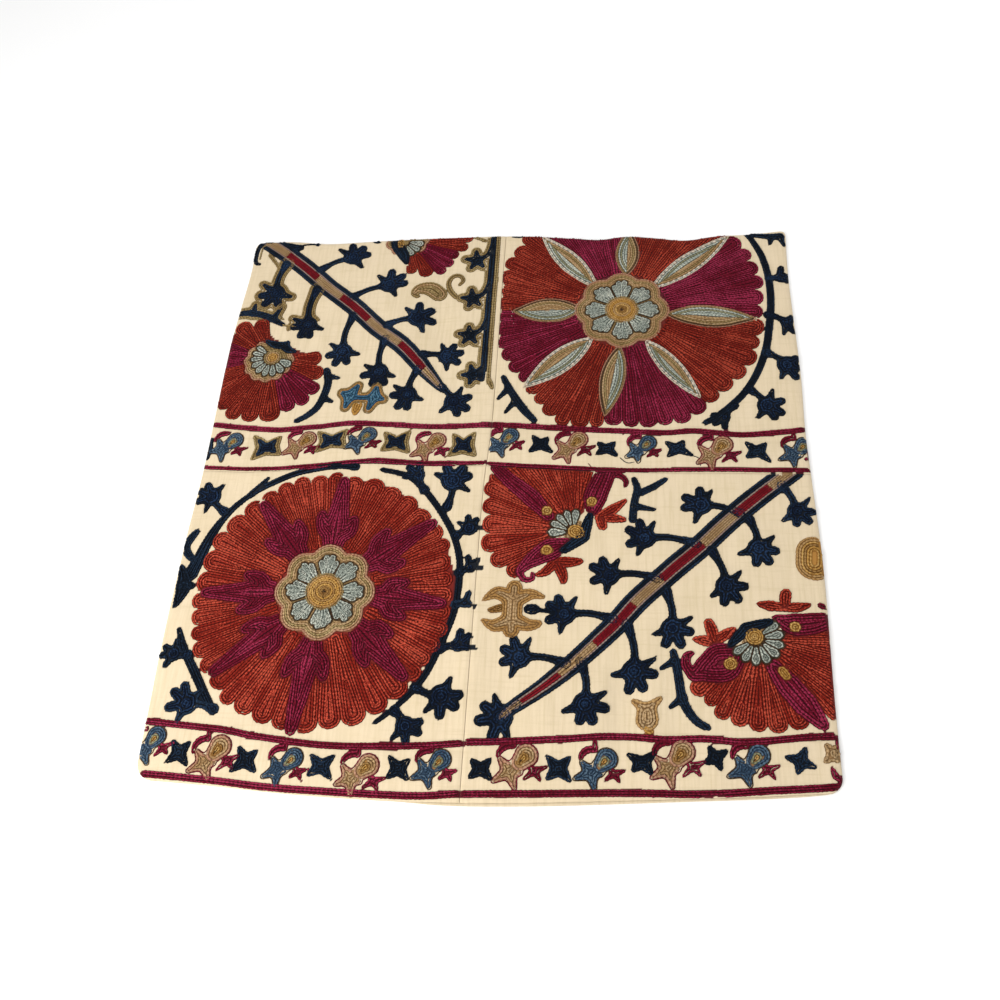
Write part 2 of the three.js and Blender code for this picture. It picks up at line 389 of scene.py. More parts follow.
def contourLines(values, xs, ys, level):
    # the lines where a field on a grid takes one value, each with whether it is closed
    inside = values < level
    ny, nx = values.shape
    uprights = ny * nx        # numbers of the upright grid edges start here
    points, links = {}, {}
    cells = np.zeros((ny - 1, nx - 1), int)
    for bit, part in enumerate((inside[:-1, :-1], inside[:-1, 1:], inside[1:, 1:], inside[1:, :-1])):
        cells += part.astype(int) << bit
    for j, i in zip(*np.nonzero((cells > 0) & (cells < 15))):
        base = j * nx + i
        edges = base, uprights + base + 1, base + nx, uprights + base
        code = cells[j, i]
        for first, second in sidesJoined[code if code in sidesJoined else 15 - code]:
            links.setdefault(edges[first], []).append(edges[second])
            links.setdefault(edges[second], []).append(edges[first])
    for edge in links:
        upright = edge >= uprights
        j, i = divmod(edge - uprights if upright else edge, nx)
        a = values[j, i] - level
        b = (values[j + 1, i] if upright else values[j, i + 1]) - level
        t = a / (a - b) if a != b else 0.5
        points[edge] = (xs[i], ys[j] + t * (ys[j + 1] - ys[j])) if upright else (
            xs[i] + t * (xs[i + 1] - xs[i]), ys[j])
    lines, unused = [], set(links)
    for start in [e for e in links if len(links[e]) == 1] + list(links):
        if start not in unused:
            continue
        walk = [start]
        unused.discard(start)
        while True:
            ahead = [e for e in links[walk[-1]] if e in unused]
            if not ahead:
                break
            walk.append(ahead[0])
            unused.discard(ahead[0])
        closed = len(walk) > 3 and start in links[walk[-1]] and len(links[start]) == 2
        lines.append((np.array([points[e] for e in walk]), closed))
    return lines


def spaced(points, step, closed=False):
    # the same line with even steps
    p = np.concatenate([points, points[:1]]) if closed else points
    along = np.concatenate([[0], np.cumsum(np.hypot(*np.diff(p, axis=0).T))])
    if along[-1] < step * 0.6:
        return None
    count = max(int(round(along[-1] / step)), 2)
    at = np.linspace(0, along[-1], count + 1)
    return np.stack([np.interp(at, along, p[:, 0]), np.interp(at, along, p[:, 1])], 1)


def sample(values, xs, ys, points):
    # a grid's values at some points
    i = np.clip((points[:, 0] - xs[0]) / (xs[1] - xs[0]), 0, len(xs) - 1.001)
    j = np.clip((points[:, 1] - ys[0]) / (ys[1] - ys[0]), 0, len(ys) - 1.001)
    a, b = i.astype(int), j.astype(int)
    u, v = i - a, j - b
    return ((values[b, a] * (1 - u) + values[b, a + 1] * u) * (1 - v)
            + (values[b + 1, a] * (1 - u) + values[b + 1, a + 1] * u) * v)


def roomInside(points, depths, xs, ys, pitch):
    # which way a motif gets deeper, and how far a row can widen until it meets its neighbour
    reach = 0.5
    slope = [sample(depths, xs, ys, points + d) - sample(depths, xs, ys, points - d)
             for d in (np.array([reach, 0]), np.array([0, reach]))]
    inward = np.stack(slope, 1)
    inward /= np.hypot(*inward.T)[:, None] + 1e-9
    here = sample(depths, xs, ys, points)
    room = np.max([sample(depths, xs, ys, points + inward * t * pitch)
                   for t in (0.2, 0.4, 0.6, 0.8, 1.0, 1.1)], axis=0) - here
    least = stitch["leastRoom"] * pitch
    inner = np.where(room >= pitch * 0.98, pitch / 2, np.clip(room, least, pitch))
    return inward, inner


def layRow(yarn, points, width, rise=1.0, closed=False, keep=None, shade=None, ground=None):
    # one row along a line; ground, if given, is the motif's depths on its grid and the pitch
    points = np.asarray(points, float)
    if closed and np.hypot(*np.diff(points, axis=0).T).sum() < stitch["smallLoop"]:
        # a turn too small to work is a single stitch along its longer way
        far = points[np.argmax(np.hypot(*(points - points[0]).T))]
        way = (far - points[0]) / (np.hypot(*(far - points[0])) + 1e-6)
        middle = (far + points[0]) / 2
        reach = max(np.hypot(*(far - points[0])) / 2, stitch["shortest"])
        points, closed = np.array([middle - way * reach, middle + way * reach]), False
        ground = None
    line = spaced(points, stitch["step"], closed)
    if line is None:
        return
    smooth = line.copy()
    smooth[1:-1] = line[:-2] * 0.25 + line[1:-1] * 0.5 + line[2:] * 0.25
    shade = draws.normal(0, 0.5) if shade is None else shade
    widths = np.full(len(smooth), float(width))
    if ground is not None:
        pitch = ground[3]
        inward, inner = roomInside(smooth, *ground)
        smooth = smooth + inward * ((inner - pitch / 2) / 2)[:, None]
        widths = (inner + pitch / 2) * stitch["overlap"]
    kept = np.ones(len(smooth), bool) if keep is None else keep(smooth[:, 0], smooth[:, 1])
    cuts = np.flatnonzero(np.diff(kept.astype(int))) + 1
    for run in np.split(np.arange(len(smooth)), cuts):
        if not kept[run[0]]:
            continue
        way, wide = smooth[run], widths[run]
        # the ends are drawn out to the very line where they stop
        for end, beyond in ((0, run[0] - 1), (-1, run[-1] + 1)):
            if 0 <= beyond < len(smooth):
                t = np.linspace(0.1, 0.9, 9)[:, None]
                probe = way[end] + (smooth[beyond] - way[end]) * t
                far = np.flatnonzero(keep(probe[:, 0], probe[:, 1]))
                if len(far) and far[-1] > 1:
                    extra = probe[far[-1]][None]
                    way = np.concatenate([way, extra] if end else [extra, way])
                    wide = np.concatenate([wide, wide[-1:]] if end else [wide[:1], wide])
        if len(way) > 1:
            rows.append({"yarn": yarn, "points": way, "width": wide, "rise": rise,
                         "shade": shade, "patch": bench["patch"]})


def paintCloth(shape, yarn, keep=None):
    # the cloth under a motif takes its colour, so that no bright speck shows between rows
    x0, y0, x1, y1 = shape["box"]
    low, high = -paintSize // 2, paintSize // 2
    i0, i1 = int(max(x0, low)) - low, int(min(x1, high - 2)) - low + 1
    j0, j1 = int(max(y0, low)) - low, int(min(y1, high - 2)) - low + 1
    x, y = paintGrid(i0, i1, j0, j1)
    deep = shape["field"](x, y) < -stitch["paintDepth"]
    if keep is not None:
        deep &= keep(x, y)
    if bench["patch"]:
        deep &= patchCells[bench["patch"]][j0:j1, i0:i1]
    if yarn not in yarnNames:
        yarnNames.append(yarn)
    paint[j0:j1, i0:i1][deep] = yarnNames.index(yarn)


def measured(shape, before=2, after=2):
    # a motif's field on a fine grid over its box
    x0, y0, x1, y1 = shape["box"]
    xs = np.arange(x0 - before, x1 + after, stitch["cell"])
    ys = np.arange(y0 - before, y1 + after, stitch["cell"])
    return shape["field"](*np.meshgrid(xs, ys)), xs, ys


def fill(shape, yarns, keep=None, pitch=None, rise=1.0):
    # rows that follow a motif's edge; yarns names one for each row, from the outside in, and
    # the last takes what is left
    yarns = yarns.split()
    values, xs, ys = measured(shape, 0, stitch["cell"])
    depths = -values
    deepest = depths.max()
    if deepest <= stitch["leastDepth"]:
        return
    workedIn = bench["patch"]
    bench["patch"] = workedIn or ownPatch(depths, xs, ys)
    pitch = pitch or stitch["pitch"]
    count = max(int(round(deepest / pitch)), 1)
    if count < 5:
        pitch = min(max(deepest / count, pitch * 0.85), pitch * 1.2)
    for k in range(max(int(deepest / pitch + 0.5), 1)):
        level = min((k + 0.5) * pitch, deepest * 0.8)
        for points, closed in contourLines(-depths, xs, ys, -level):
            layRow(yarns[min(k, len(yarns) - 1)], points, pitch * stitch["overlap"], rise, closed,
                   keep, ground=(depths, xs, ys, pitch))
    paintCloth(shape, yarns[-1], keep)
    bench["patch"] = workedIn


def ownPatch(depths, xs, ys):
    # the patch where a motif is deepest
    j, i = np.unravel_index(np.argmax(depths), depths.shape)
    x, y = nominalPoint(xs[i], ys[j])
    where = (1 if x > cover["seamX"] else -1, 1 if y > cover["seamY"] else -1)
    return next(name for name, sides in patches.items() if sides == where)


def edgeRow(shape, yarn, level, width, rise, keep=None):
    # one row at a set distance from a motif's edge
    values, xs, ys = measured(shape)
    workedIn = bench["patch"]
    bench["patch"] = workedIn or ownPatch(-values, xs, ys)
    for points, closed in contourLines(values, xs, ys, level):
        layRow(yarn, points, width, rise, closed, keep)
    bench["patch"] = workedIn


def dashes(shape, yarn, level, length, gap, width, keep):
    # short running stitches at a set distance from a motif's edge
    step = stitch["dashStep"]
    period, dash = int(round((length + gap) / step)), int(round(length / step)) + 1
    for points, closed in contourLines(*measured(shape), level):
        line = spaced(points, step, closed)
        if line is None:
            continue
        for start in range(0, len(line) - dash, period):
            layRow(yarn, line[start:start + dash], width, 1.15, False, keep, 0.0)


def rounded(shape, by):
    # the same form, grown all round with soft corners, or shrunk where by is less than zero
    x0, y0, x1, y1 = shape["box"]
    return {"field": lambda x, y: shape["field"](x, y) - by,
            "box": (x0 - by, y0 - by, x1 + by, y1 + by)}


def around(x, y, reach, angle):
    # the place that lies so far off and in that direction, in radians
    return x + reach * math.cos(angle), y + reach * math.sin(angle)


def wedge(cx, cy, start, end, inner, outer):
    # one long lobe of a flower, from its middle to its rounded end; angles in degrees
    a, b = math.radians(start), math.radians(end)
    cap = outer * abs(b - a) * stitch["lobeEnd"]
    turn = np.linspace(-math.pi / 2, math.pi / 2, 11)
    angles = (a + b) / 2 + (b - a) / 2 * np.sin(turn)
    reach = outer - cap + cap * np.cos(turn)
    tip = np.stack([cx + reach * np.cos(angles), cy + reach * np.sin(angles)], 1)
    return outline(np.concatenate([tip, [around(cx, cy, inner, t) for t in (b, a)]]))


def fan(flower, start, end, yarn, keep):
    # lobes side by side over part of a turn, out to the flower's rim
    lobes = flower["lobesEach"]
    rim = sorted({a + turn: reach for turn in (0, 360) for a, reach in flower["rim"]}.items())
    edges = np.linspace(start, end, lobes + 1)
    edges[1:-1] += draws.uniform(-0.1, 0.1, lobes - 1) * (end - start) / lobes
    for a, b in zip(edges[:-1], edges[1:]):
        far = float(curveThrough(rim, (a + b) / 2)) * draws.uniform(0.985, 1.015)
        fill(wedge(*flower["middle"], a, b, flower["inner"], far), yarn, keep)


def outside(*shapes, margin=0.2):
    # whether a place lies clear of all the shapes
    return lambda x, y: np.all([s["field"](x, y) > margin for s in shapes], axis=0)


# Sprigs: a stalk that swells into a leaf of five lobes, the first bent back and pointed.
sprigForm = {
    "turns": (118, 70, 22, -26, -80),        # from the stalk's direction, in degrees
    "reach": (18.4, 17.0, 17.2, 16.8, 17.6),
    "tip": (1.4, 3.9, 4.1, 3.9, 1.8),
    "root": (5.2, 4.5, 4.7, 4.5, 5.2),
    "hub": 9.0,
    "lessHub": 0.72,         # a leaf of three lobes or fewer has so much less of a hub
    "stalk": 2.9,
    "bow": 0.07,             # how far the stalk bows aside, over its length
    "swell": 5.6,            # the stalk's radius where it runs into the leaf
    "flare": 4.8,            # and where it leaves the stem
}


def sprigShape(hubX, hubY, rootX, rootY, size, side, *fingers):
    # fingers are the lobes that the leaf has, or none for all five
    form = sprigForm
    fingers = fingers or range(len(form["turns"]))
    heading = math.atan2(hubY - rootY, hubX - rootX)
    hub = form["hub"] * size * (1.0 if len(fingers) > 3 else form["lessHub"])
    parts = [(hubX, hubY, hub, hubX + 0.1, hubY, hub)]
    for k in fingers:
        turn = heading + side * math.radians(form["turns"][k] + draws.uniform(-7, 7))
        far = (form["reach"][k] * draws.uniform(0.94, 1.06) - form["tip"][k]) * size
        parts.append((hubX, hubY, form["root"][k] * size, *around(hubX, hubY, far, turn),
                      form["tip"][k] * size))
    bow = form["bow"] * side
    bend = (hubX + rootX) / 2 - bow * (hubY - rootY), (hubY + rootY) / 2 + bow * (hubX - rootX)
    parts += limb([(rootX, rootY), bend, (hubX, hubY)],
                  [form["flare"], form["stalk"], form["stalk"], form["swell"] * size])
    return strokes(parts, soft=1.4)


def edged(shape, keep=None):
    # two khaki rows close round the outside of a motif
    edgeRow(shape, "khaki", 0.8, 2.0, 0.8, keep)
    edgeRow(shape, "khaki", 2.5, 2.0, 0.85, keep)


def sprig(*row):
    # one navy sprig, worked and with its colour on the cloth below
    shape = sprigShape(*row)
    fill(shape, "navy indigo")
    paintCloth(rounded(shape, 0.3), "navy")
    return shape


vineForm = {
    "plump": 1.08,           # stems are worked this much wider than they are drawn
    "thorn": 3.4,            # half width of a thorn's foot
    "thornTip": 1.5,
}


def vine(points, radii, *thorns):
    # a bent stem; a thorn is the place that it leaves and its tip
    parts = limb(points, [r * vineForm["plump"] for r in radii])
    for fromX, fromY, tipX, tipY in thorns:
        parts.append((fromX, fromY, vineForm["thorn"], tipX, tipY, vineForm["thornTip"]))
    shape = strokes(parts, soft=1.6)
    fill(shape, "navy")
    paintCloth(rounded(shape, 0.4), "navy")
    return shape


def cord(points, yarn, count=1, pitch=1.75):
    # some rows side by side along one line
    line = curve(points, step=1.0)
    way = np.gradient(line, axis=0)
    way /= np.hypot(*way.T)[:, None]
    across = np.stack([-way[:, 1], way[:, 0]], 1)
    for k in range(count):
        off = (k - (count - 1) / 2) * pitch
        layRow(yarn, line + across * off, pitch * stitch["overlap"])
    if count > 1:
        paintCloth(strokes(limb(points, [count * pitch / 2 + 0.7])), yarn)


def leaves(yarns, *lines, keep=None, soft=1.6):
    # plump leaves that share a base; each line has its places and its half widths
    fill(bent(*lines, soft=soft), yarns, keep)


def starShape(corners, dents, shrink=1.0):
    # four corners with dented sides; dents has a share for each side, from the first on
    p = np.asarray(corners, float)
    middle = p.mean(0)
    line = []
    for k in range(4):
        a, b = p[k], p[(k + 1) % 4]
        for t in (0.0, 0.17, 0.33, 0.5, 0.67, 0.83):
            pull = dents[k] * (1 - abs(2 * t - 1)) ** 0.85
            line.append((a + (b - a) * t) * (1 - pull) + middle * pull)
    p = middle + (np.array(line) - middle) * 0.95 * shrink
    return rounded(outline(p), 0.8)


def star4(corners, yarn="navy"):
    fill(starShape(corners, (0.5, 0.42, 0.46, 0.42)), yarn)


def edgedStar4(corners):
    core = starShape(corners, (0.72, 0.36, 0.42, 0.4), 0.70)
    outer = starShape(corners, (0.62, 0.2, 0.28, 0.28))
    paintCloth(outer, "khaki")
    fill(outer, "khaki", outside(core, margin=0.1), pitch=1.9)
    fill(core, "navy indigo")


# Small flowers of the borders: a drop-shaped head, a pointed tail and two maroon leaves.
bloomForm = {
    "head": ((1.0, 0.5, 5.4), (5.0, 4.2, 7.4)),          # two middles and radii
    "inner": ((0.6, 0.2, 2.2), (3.8, 3.2, 3.4)),
    "eye": ((1.2, 0.9), (3.2, 2.6)),
    "tail": (-6.0, -4.5),
    "points": ((122, 10.2), (203, 11.2), (278, 11.2), (345, 7.0)),   # the tail's turns and reach
    "tailRoot": 4.4,
    "tailTip": 1.2,
    "upperLeaf": ((-2.0, 11.5), (-8.0, 11.0), (-12.0, 7.5), (-13.0, 2.0)),
    "upperRadii": (2.2, 2.9, 2.3, 0.9),
    "stalkRoot": (-2.5, 10.0),
    "lowerLeaf": ((9.5, -5.5), ((2.0, -10.5), (13.0, -12.0), (18.0, -3.5))),
}
bloomYarns = {
    "blue": {"head": "slate", "inner": "sage gold", "line": "umber"},
    "tan": {"head": "blush tan", "inner": "ochre gold", "line": "maroon"},
}


def bloom(x, y, kind, tilt, size, stalk):
    # one flower; stalk is the height above its middle where the stalk ends, or 0 for none
    form, yarns = bloomForm, bloomYarns[kind]
    c, s = math.cos(math.radians(tilt)) * size, math.sin(math.radians(tilt)) * size

    def at(u, v):
        return x + u * c - v * s, y + u * s + v * c

    def drop(ends):
        (u0, v0, r0), (u1, v1, r1) = ends
        return strokes([(*at(u0, v0), r0 * size, *at(u1, v1), r1 * size)])
    head, inner = drop(form["head"]), drop(form["inner"])
    hub = form["tail"]
    points = [(*at(*hub), 4.2 * size, *at(*form["head"][0][:2]), 4.6 * size)]
    for turn, far in form["points"]:
        a = math.radians(turn + draws.uniform(-8, 8))
        tip = around(*hub, far * draws.uniform(0.93, 1.07), a)
        points.append((*at(*hub), form["tailRoot"] * size, *at(*tip), form["tailTip"] * size))
    tail = strokes(points, soft=1.2)
    # the leaves first, so that the flower lies over them
    clear = outside(tail, head, margin=0.5)
    parts = limb([at(u, v) for u, v in form["upperLeaf"]], form["upperRadii"])
    if stalk:
        parts += limb([at(*form["stalkRoot"]), at(-2.0, stalk / size)], [2.0, 1.7])
    fill(strokes(parts, soft=0.8), "maroon", clear, pitch=1.9)
    node, tips = form["lowerLeaf"]
    parts = [(*at(*node), 2.6 * size, *at(*tip), 1.1) for tip in tips]
    parts.append((*at(*node), 2.2, *at(5.0, -1.0), 2.2))
    fill(strokes(parts, soft=0.8), "maroon", clear, pitch=1.9)
    fill(tail, yarns["head"], outside(head, margin=0.4), pitch=1.9)
    fill(head, yarns["head"], outside(inner, margin=0.2), pitch=1.9)
    fill(inner, yarns["inner"], pitch=1.8)
    layRow("umber", [at(*form["eye"][0]), at(*form["eye"][1])], 1.2, 1.2)
    edgeRow(both(tail, head), yarns["line"], 0.4, 1.0, 0.6)


def petalShape(cx, cy, start, end, inner, reach, scallops):
    # one petal between two bounds in degrees, with small scallops at its end
    share = np.linspace(0, 1, 6 * scallops + 1)
    angle = np.radians(start + (end - start) * share)
    small = np.abs(np.sin(scallops * math.pi * share))
    far = reach * (0.84 + 0.12 * np.sin(math.pi * share) + 0.06 * small)
    tip = np.stack([cx + far * np.cos(angle), cy + far * np.sin(angle)], 1)
    foot = [around(cx, cy, inner, t) for t in (angle[-1], angle[0])]
    return outline(np.concatenate([tip, foot]))


def petalShapes(middle, turns, inner, reach, scallops):
    # petals side by side; turns are their bounds
    return [petalShape(*middle, a, b, inner, reach, scallops) for a, b in zip(turns[:-1], turns[1:])]


def petals(shapes, keep):
    # grey petals, each with a thin dark line round it
    for shape in shapes:
        paintCloth(rounded(shape, 0.8), "umber", keep)
        fill(rounded(shape, -0.4), "grey", keep, pitch=1.8)
        edgeRow(shape, "umber", 0.1, 1.0, 0.9, keep)


fingerForm = {
    "turns": (-13.6, -4.7, 4.7, 13.6),       # a petal's fingers, in degrees from its middle
    "reach": (0.88, 1.0, 0.98, 0.87),        # and how far each goes
    "tip": 2.8,
    "root": 1.9,
}


def fingeredPetal(cx, cy, turn, inner, reach, keep):
    # a petal of four narrow loops, side by side, with one dark line round them all
    form = fingerForm
    fingers = []
    for aside, far in zip(form["turns"], form["reach"]):
        a, b = math.radians(turn + aside), math.radians(turn + aside * 0.7)
        end = reach * far * draws.uniform(0.97, 1.03) - form["tip"]
        fingers.append((*around(cx, cy, inner, b), form["root"],
                        *around(cx, cy, end, a), form["tip"]))
    whole = strokes(fingers, soft=0.3)
    paintCloth(rounded(whole, 0.9), "umber", keep)
    halfTurn = math.radians((form["turns"][2] - form["turns"][1]) / 2)
    for aside, finger in zip(form["turns"], fingers):
        middle = math.radians(turn + aside * 0.93)
        last = abs(aside) == max(form["turns"])

        def own(x, y):
            off = np.angle(np.exp(1j * (np.arctan2(y - cy, x - cx) - middle)))
            off = off * (1 if aside > 0 else -1)
            return (off > -halfTurn) & ((off < halfTurn) | last) & keep(x, y)
        fill(strokes([finger]), "grey", own, pitch=1.75)
    edgeRow(whole, "umber", 0.4, 1.0, 0.85, keep)
    return whole


heartForm = {
    "petals": 8,
    "scallop": 5.6,          # depth of the ring's scallops
    "ring": "blush tan khaki tan",
    "eye": "khaki amber gold gold amber gold ochre",
}


def petalHeart(cx, cy, outer, reach, eye):
    # the heart of a big flower: a scalloped ring, a round of petals and a golden eye
    count = heartForm["petals"]
    ring = lobed(cx, cy, outer, count, heartForm["scallop"])
    paintCloth(ring, "khaki")
    beyondEye = outside(lobed(cx, cy, eye - 0.6), margin=0.0)
    shapes = [fingeredPetal(cx, cy, 360 / count * k + draws.uniform(-2, 2), eye - 1, reach, beyondEye)
              for k in range(count)]
    within = outside(lobed(cx, cy, eye + 2), *shapes, margin=1.2)
    fill(ring, heartForm["ring"], within, pitch=1.9)
    fill(lobed(cx, cy, eye + 1.6, count * 3, 1.6), heartForm["eye"], pitch=1.8)
    layRow("umber", [(cx - 1, cy), (cx + 1, cy)], 1.8, 1.15)


def leafOutline(baseX, baseY, tipX, tipY, width):
    # a spindle between two ends
    length = math.hypot(tipX - baseX, tipY - baseY)
    ux, uy = (tipX - baseX) / length, (tipY - baseY) / length
    t = np.linspace(0, 1, 18)
    swell = np.sin(math.pi * t ** 0.9) ** 0.85 * width / 2
    out, back = list(zip(t, swell)), list(zip(t, -swell))[-2:0:-1]
    return outline([(baseX + ux * length * a - uy * w, baseY + uy * length * a + ux * w)
                    for a, w in out + back])


def rayLeaf(baseX, baseY, tipX, tipY, width, dashed, tanSide, keep):
    # a long leaf of the big rosette, one half grey and the other tan
    shape = leafOutline(baseX, baseY, tipX, tipY, width)

    def hand(x, y):
        return ((tipX - baseX) * (y - baseY) - (tipY - baseY) * (x - baseX)) * tanSide

    def onlyTan(x, y):
        return keep(x, y) & (hand(x, y) > 0)

    def onlyGrey(x, y):
        return keep(x, y) & (hand(x, y) <= 0)
    paintCloth(shape, "khaki", keep)
    edgeRow(shape, "cream" if dashed else "blush", -0.5, 1.1, 0.7, keep)
    if dashed:
        inner = rounded(shape, -3.0)
        dashes(shape, "cream", -1.9, 3.2, 2.6, 2.2, keep)
        edgeRow(shape, "grey", -1.9, 1.7, 0.55, keep)
    else:
        inner = rounded(shape, -2.6)
        edgeRow(shape, "umber", -1.7, 1.7, 0.8, onlyTan)
        edgeRow(shape, "khaki", -1.7, 1.7, 0.8, onlyGrey)
    fill(inner, "tan khaki tan", onlyTan, pitch=1.8)
    fill(inner, "grey sage grey", onlyGrey, pitch=1.8)


stemForm = {
    "inner": 0.49,           # share of the half width inside the navy rows
    "line": 1.2,             # width of the thin row inside them
}


def bigStem(points, radii, inserts):
    # navy sides, a thin pale line, and a tan core with dark red stretches let in
    shape = strokes(limb(points, radii), soft=0.5)
    line = curve(points, step=1.5)
    inner = strokes(limb(points, [r * stemForm["inner"] for r in radii]), soft=0.5)
    core = rounded(inner, -stemForm["line"])

    def red(x, y):
        x, y = np.asarray(x, float), np.asarray(y, float)
        gap = (x[..., None] - line[:, 0]) ** 2 + (y[..., None] - line[:, 1]) ** 2
        share = np.argmin(gap, -1) / (len(line) - 1)
        return np.any([(share >= a) & (share <= b) for a, b in inserts], axis=0)
    fill(shape, "navy", outside(inner, margin=0.3), pitch=2.3)
    edgeRow(inner, "lilac", -0.4 * stemForm["line"], stemForm["line"] * 1.3, 0.85)
    fill(core, "crimson", red, pitch=1.8)
    fill(core, "tan", lambda x, y: ~red(x, y), pitch=1.8)
    return shape


# Borders: lines of maroon braid, little flowers and four-pointed stars between them.
print("laying the borders")
braids = [
    # yarn rows, then the line's places
    (3, [(-257, 48), (-200, 41.5), (-160, 44), (-130, 47.5), (-100, 46), (-60, 43.5), (-9.5, 45)]),
    (2, [(-257, 4.8), (-200, 2.4), (-160, 5), (-110, 9.8), (-95, 10), (-60, 8), (-9.5, 7.6)]),
    (1, [(-257, 2.4), (-200, 0.4), (-160, 2.2), (-135, 6.0), (-110, 7.4), (-60, 5.6), (-9.5, 5.2)]),
    (3, [(-9, 45.5), (50, 41.5), (110, 38.0), (140, 37.0), (165, 38.5), (200, 35), (230, 37.5),
         (256, 41)]),
    (2, [(-9, 6.8), (50, 3.9), (100, 1.5), (150, 1.6), (200, 1.7), (256, 2.2)]),
    (1, [(-9, 4.4), (50, 1.5), (100, -0.8), (150, -0.9), (200, -0.8), (256, -0.4)]),
    (3, [(-258, -216.5), (-250, -217), (-195, -221.5), (-170, -225.5), (-120, -230.5),
         (-80, -230.5), (-40, -228.5), (-12.5, -226.0)]),
    (3, [(-251, -255.5), (-200, -258.5), (-150, -262.3), (-80, -264.3), (-40, -264.2),
         (-12.5, -261.5)]),
    (3, [(-11, -225.5), (50, -221.5), (100, -217.5), (130, -219), (160, -217.5), (190, -219),
         (230, -214.5), (250, -213.0), (256, -213.5)]),
    (3, [(-11, -262.0), (50, -259.5), (110, -257), (160, -256), (200, -252.5), (245, -248.5),
         (252, -247), (254, -243)]),
]
for count, line in braids:
    cord(line, "maroon", count)
cord([(252.5, -216), (253.5, -222)], "maroon", 2)

bloomRows = [
    # x, y, kind, tilt, size, how far above it its stalk ends (0 for none)
    (-237, 27, "blue", 0, 1.0, 0), (-171, 27, "tan", 0, 0.98, 0), (-118, 31, "blue", 5, 0.98, 0),
    (-58, 25, "tan", 0, 1.0, 0), (5, 29, "blue", 10, 0.98, 16.5), (62, 25, "tan", 8, 1.05, 16.0),
    (120, 23, "blue", 4, 0.92, 14.7), (180, 20, "tan", 6, 1.1, 17), (246, 21, "blue", 4, 1.0, 18.5),
    (-250, -233, "blue", 14, 1.0, 0), (-200, -240, "tan", 12, 1.15, 19),
    (-143, -245, "blue", 0, 1.0, 16.5), (-87, -249, "tan", 0, 1.1, 18.5),
    (-33, -243, "blue", 4, 1.0, 15), (28, -239, "tan", 6, 1.15, 16.5), (86, -239, "blue", 4, 1.05, 19),
    (140, -233, "tan", 10, 1.15, 14.3), (193, -233, "blue", 6, 1.05, 14),
]
for x, y, kind, tilt, size, stalk in bloomRows:
    bloom(x, y, kind, tilt, size, stalk)
# what shows of two flowers at the seams
star4([(243, -217), (256, -216), (256, -234), (241, -233)], yarn="tan")
fill(strokes([(256, -226, 4.0, 252, -226, 4.0)]), "tan")
fill(strokes(limb([(247, -234), (249, -241), (254, -243)], [1.2, 2.6, 2.4])), "maroon")
vine([(-254.5, 33), (-254, 22), (-255, 13)], [2.2, 3.0, 2.2])

edgedStars = [
    [(-217, 37), (-190, 36), (-187, 15), (-215, 10)],
    [(-160, 40), (-131, 42), (-130, 21), (-159, 17)],
    [(-101, 39), (-76, 40), (-75, 16), (-102, 18)],
    [(-41, 37), (-20, 39), (-18, 13), (-44, 13)],
]
for corners in edgedStars:
    edgedStar4(corners)
plainStars = [
    [(27, 35), (42, 33), (47, 16), (24, 17)], [(81, 29), (98, 29), (101, 13), (80, 15)],
    [(137, 29), (154, 30), (162, 14), (139, 13)], [(202, 29), (221, 28), (224, 8), (202, 12)],
    [(-234, -229), (-218, -230), (-217, -250), (-236, -248)],
    [(-182, -232), (-165, -235), (-164, -253), (-186, -253)],
    [(-126, -237), (-106, -237), (-107, -256), (-127, -254)],
    [(-68, -236), (-50, -238), (-50, -255), (-68, -254)],
    [(-8, -236), (9, -235), (11, -253), (-9, -252)], [(47, -232), (66, -232), (67, -252), (47, -251)],
    [(104, -229), (128, -226), (124, -245), (108, -243)],
    [(162, -221), (178, -224), (172, -241), (158, -236)],
    [(231, -220), (238, -236), (223, -241), (214, -228)],
]
for corners in plainStars:
    star4(corners)


# Lower left rosette: rust lobes all round, eight maroon fleurs over them, a petalled heart.
print("laying the round rosette")
roundRosette = {
    "middle": (-132.0, -110.0),
    "inner": 38.0,
    "rim": [(-180, 109), (-135, 113), (-90, 113), (-45, 108), (0, 104), (45, 107), (90, 107),
            (135, 111), (180, 109)],
    "lobesEach": 5,
}
# turn, base, how far aside the side lobes lie, their reach, and the tip's reach, all from
# the rosette's middle
fleurRows = [(88, 36, 14, 67, 104), (37, 36, 15, 66, 106), (-5, 38, 14, 66, 99),
             (-44, 38, 14, 66, 101), (-96, 38, 15, 66, 115), (-140, 38, 14, 64, 108),
             (181, 36, 15, 66, 102), (129, 36, 14, 66, 104)]


def fleur(cx, cy, turn, base, aside, lobeReach, tipReach):
    c, s = math.cos(math.radians(turn)), math.sin(math.radians(turn))

    def at(reach, off):
        return cx + reach * c - off * s, cy + reach * s + off * c
    parts = limb([at(base, 0), at(base + 14, 0), at(lobeReach - 6, 0)], [7.0, 10.5, 10.5])
    parts += limb([at(lobeReach - 6, 0), at(tipReach - 14, 0), at(tipReach - 4, 0)], [10.5, 7.4, 4.4])
    for hand in (-1, 1):
        far = draws.uniform(-3, 3)
        parts += limb([at(base + 12, 0), at(lobeReach - 10 + far, hand * aside * 0.72),
                       at(lobeReach + far, hand * aside)], [7.5, 7.8, 4.0])
    return strokes(parts, soft=1.2)


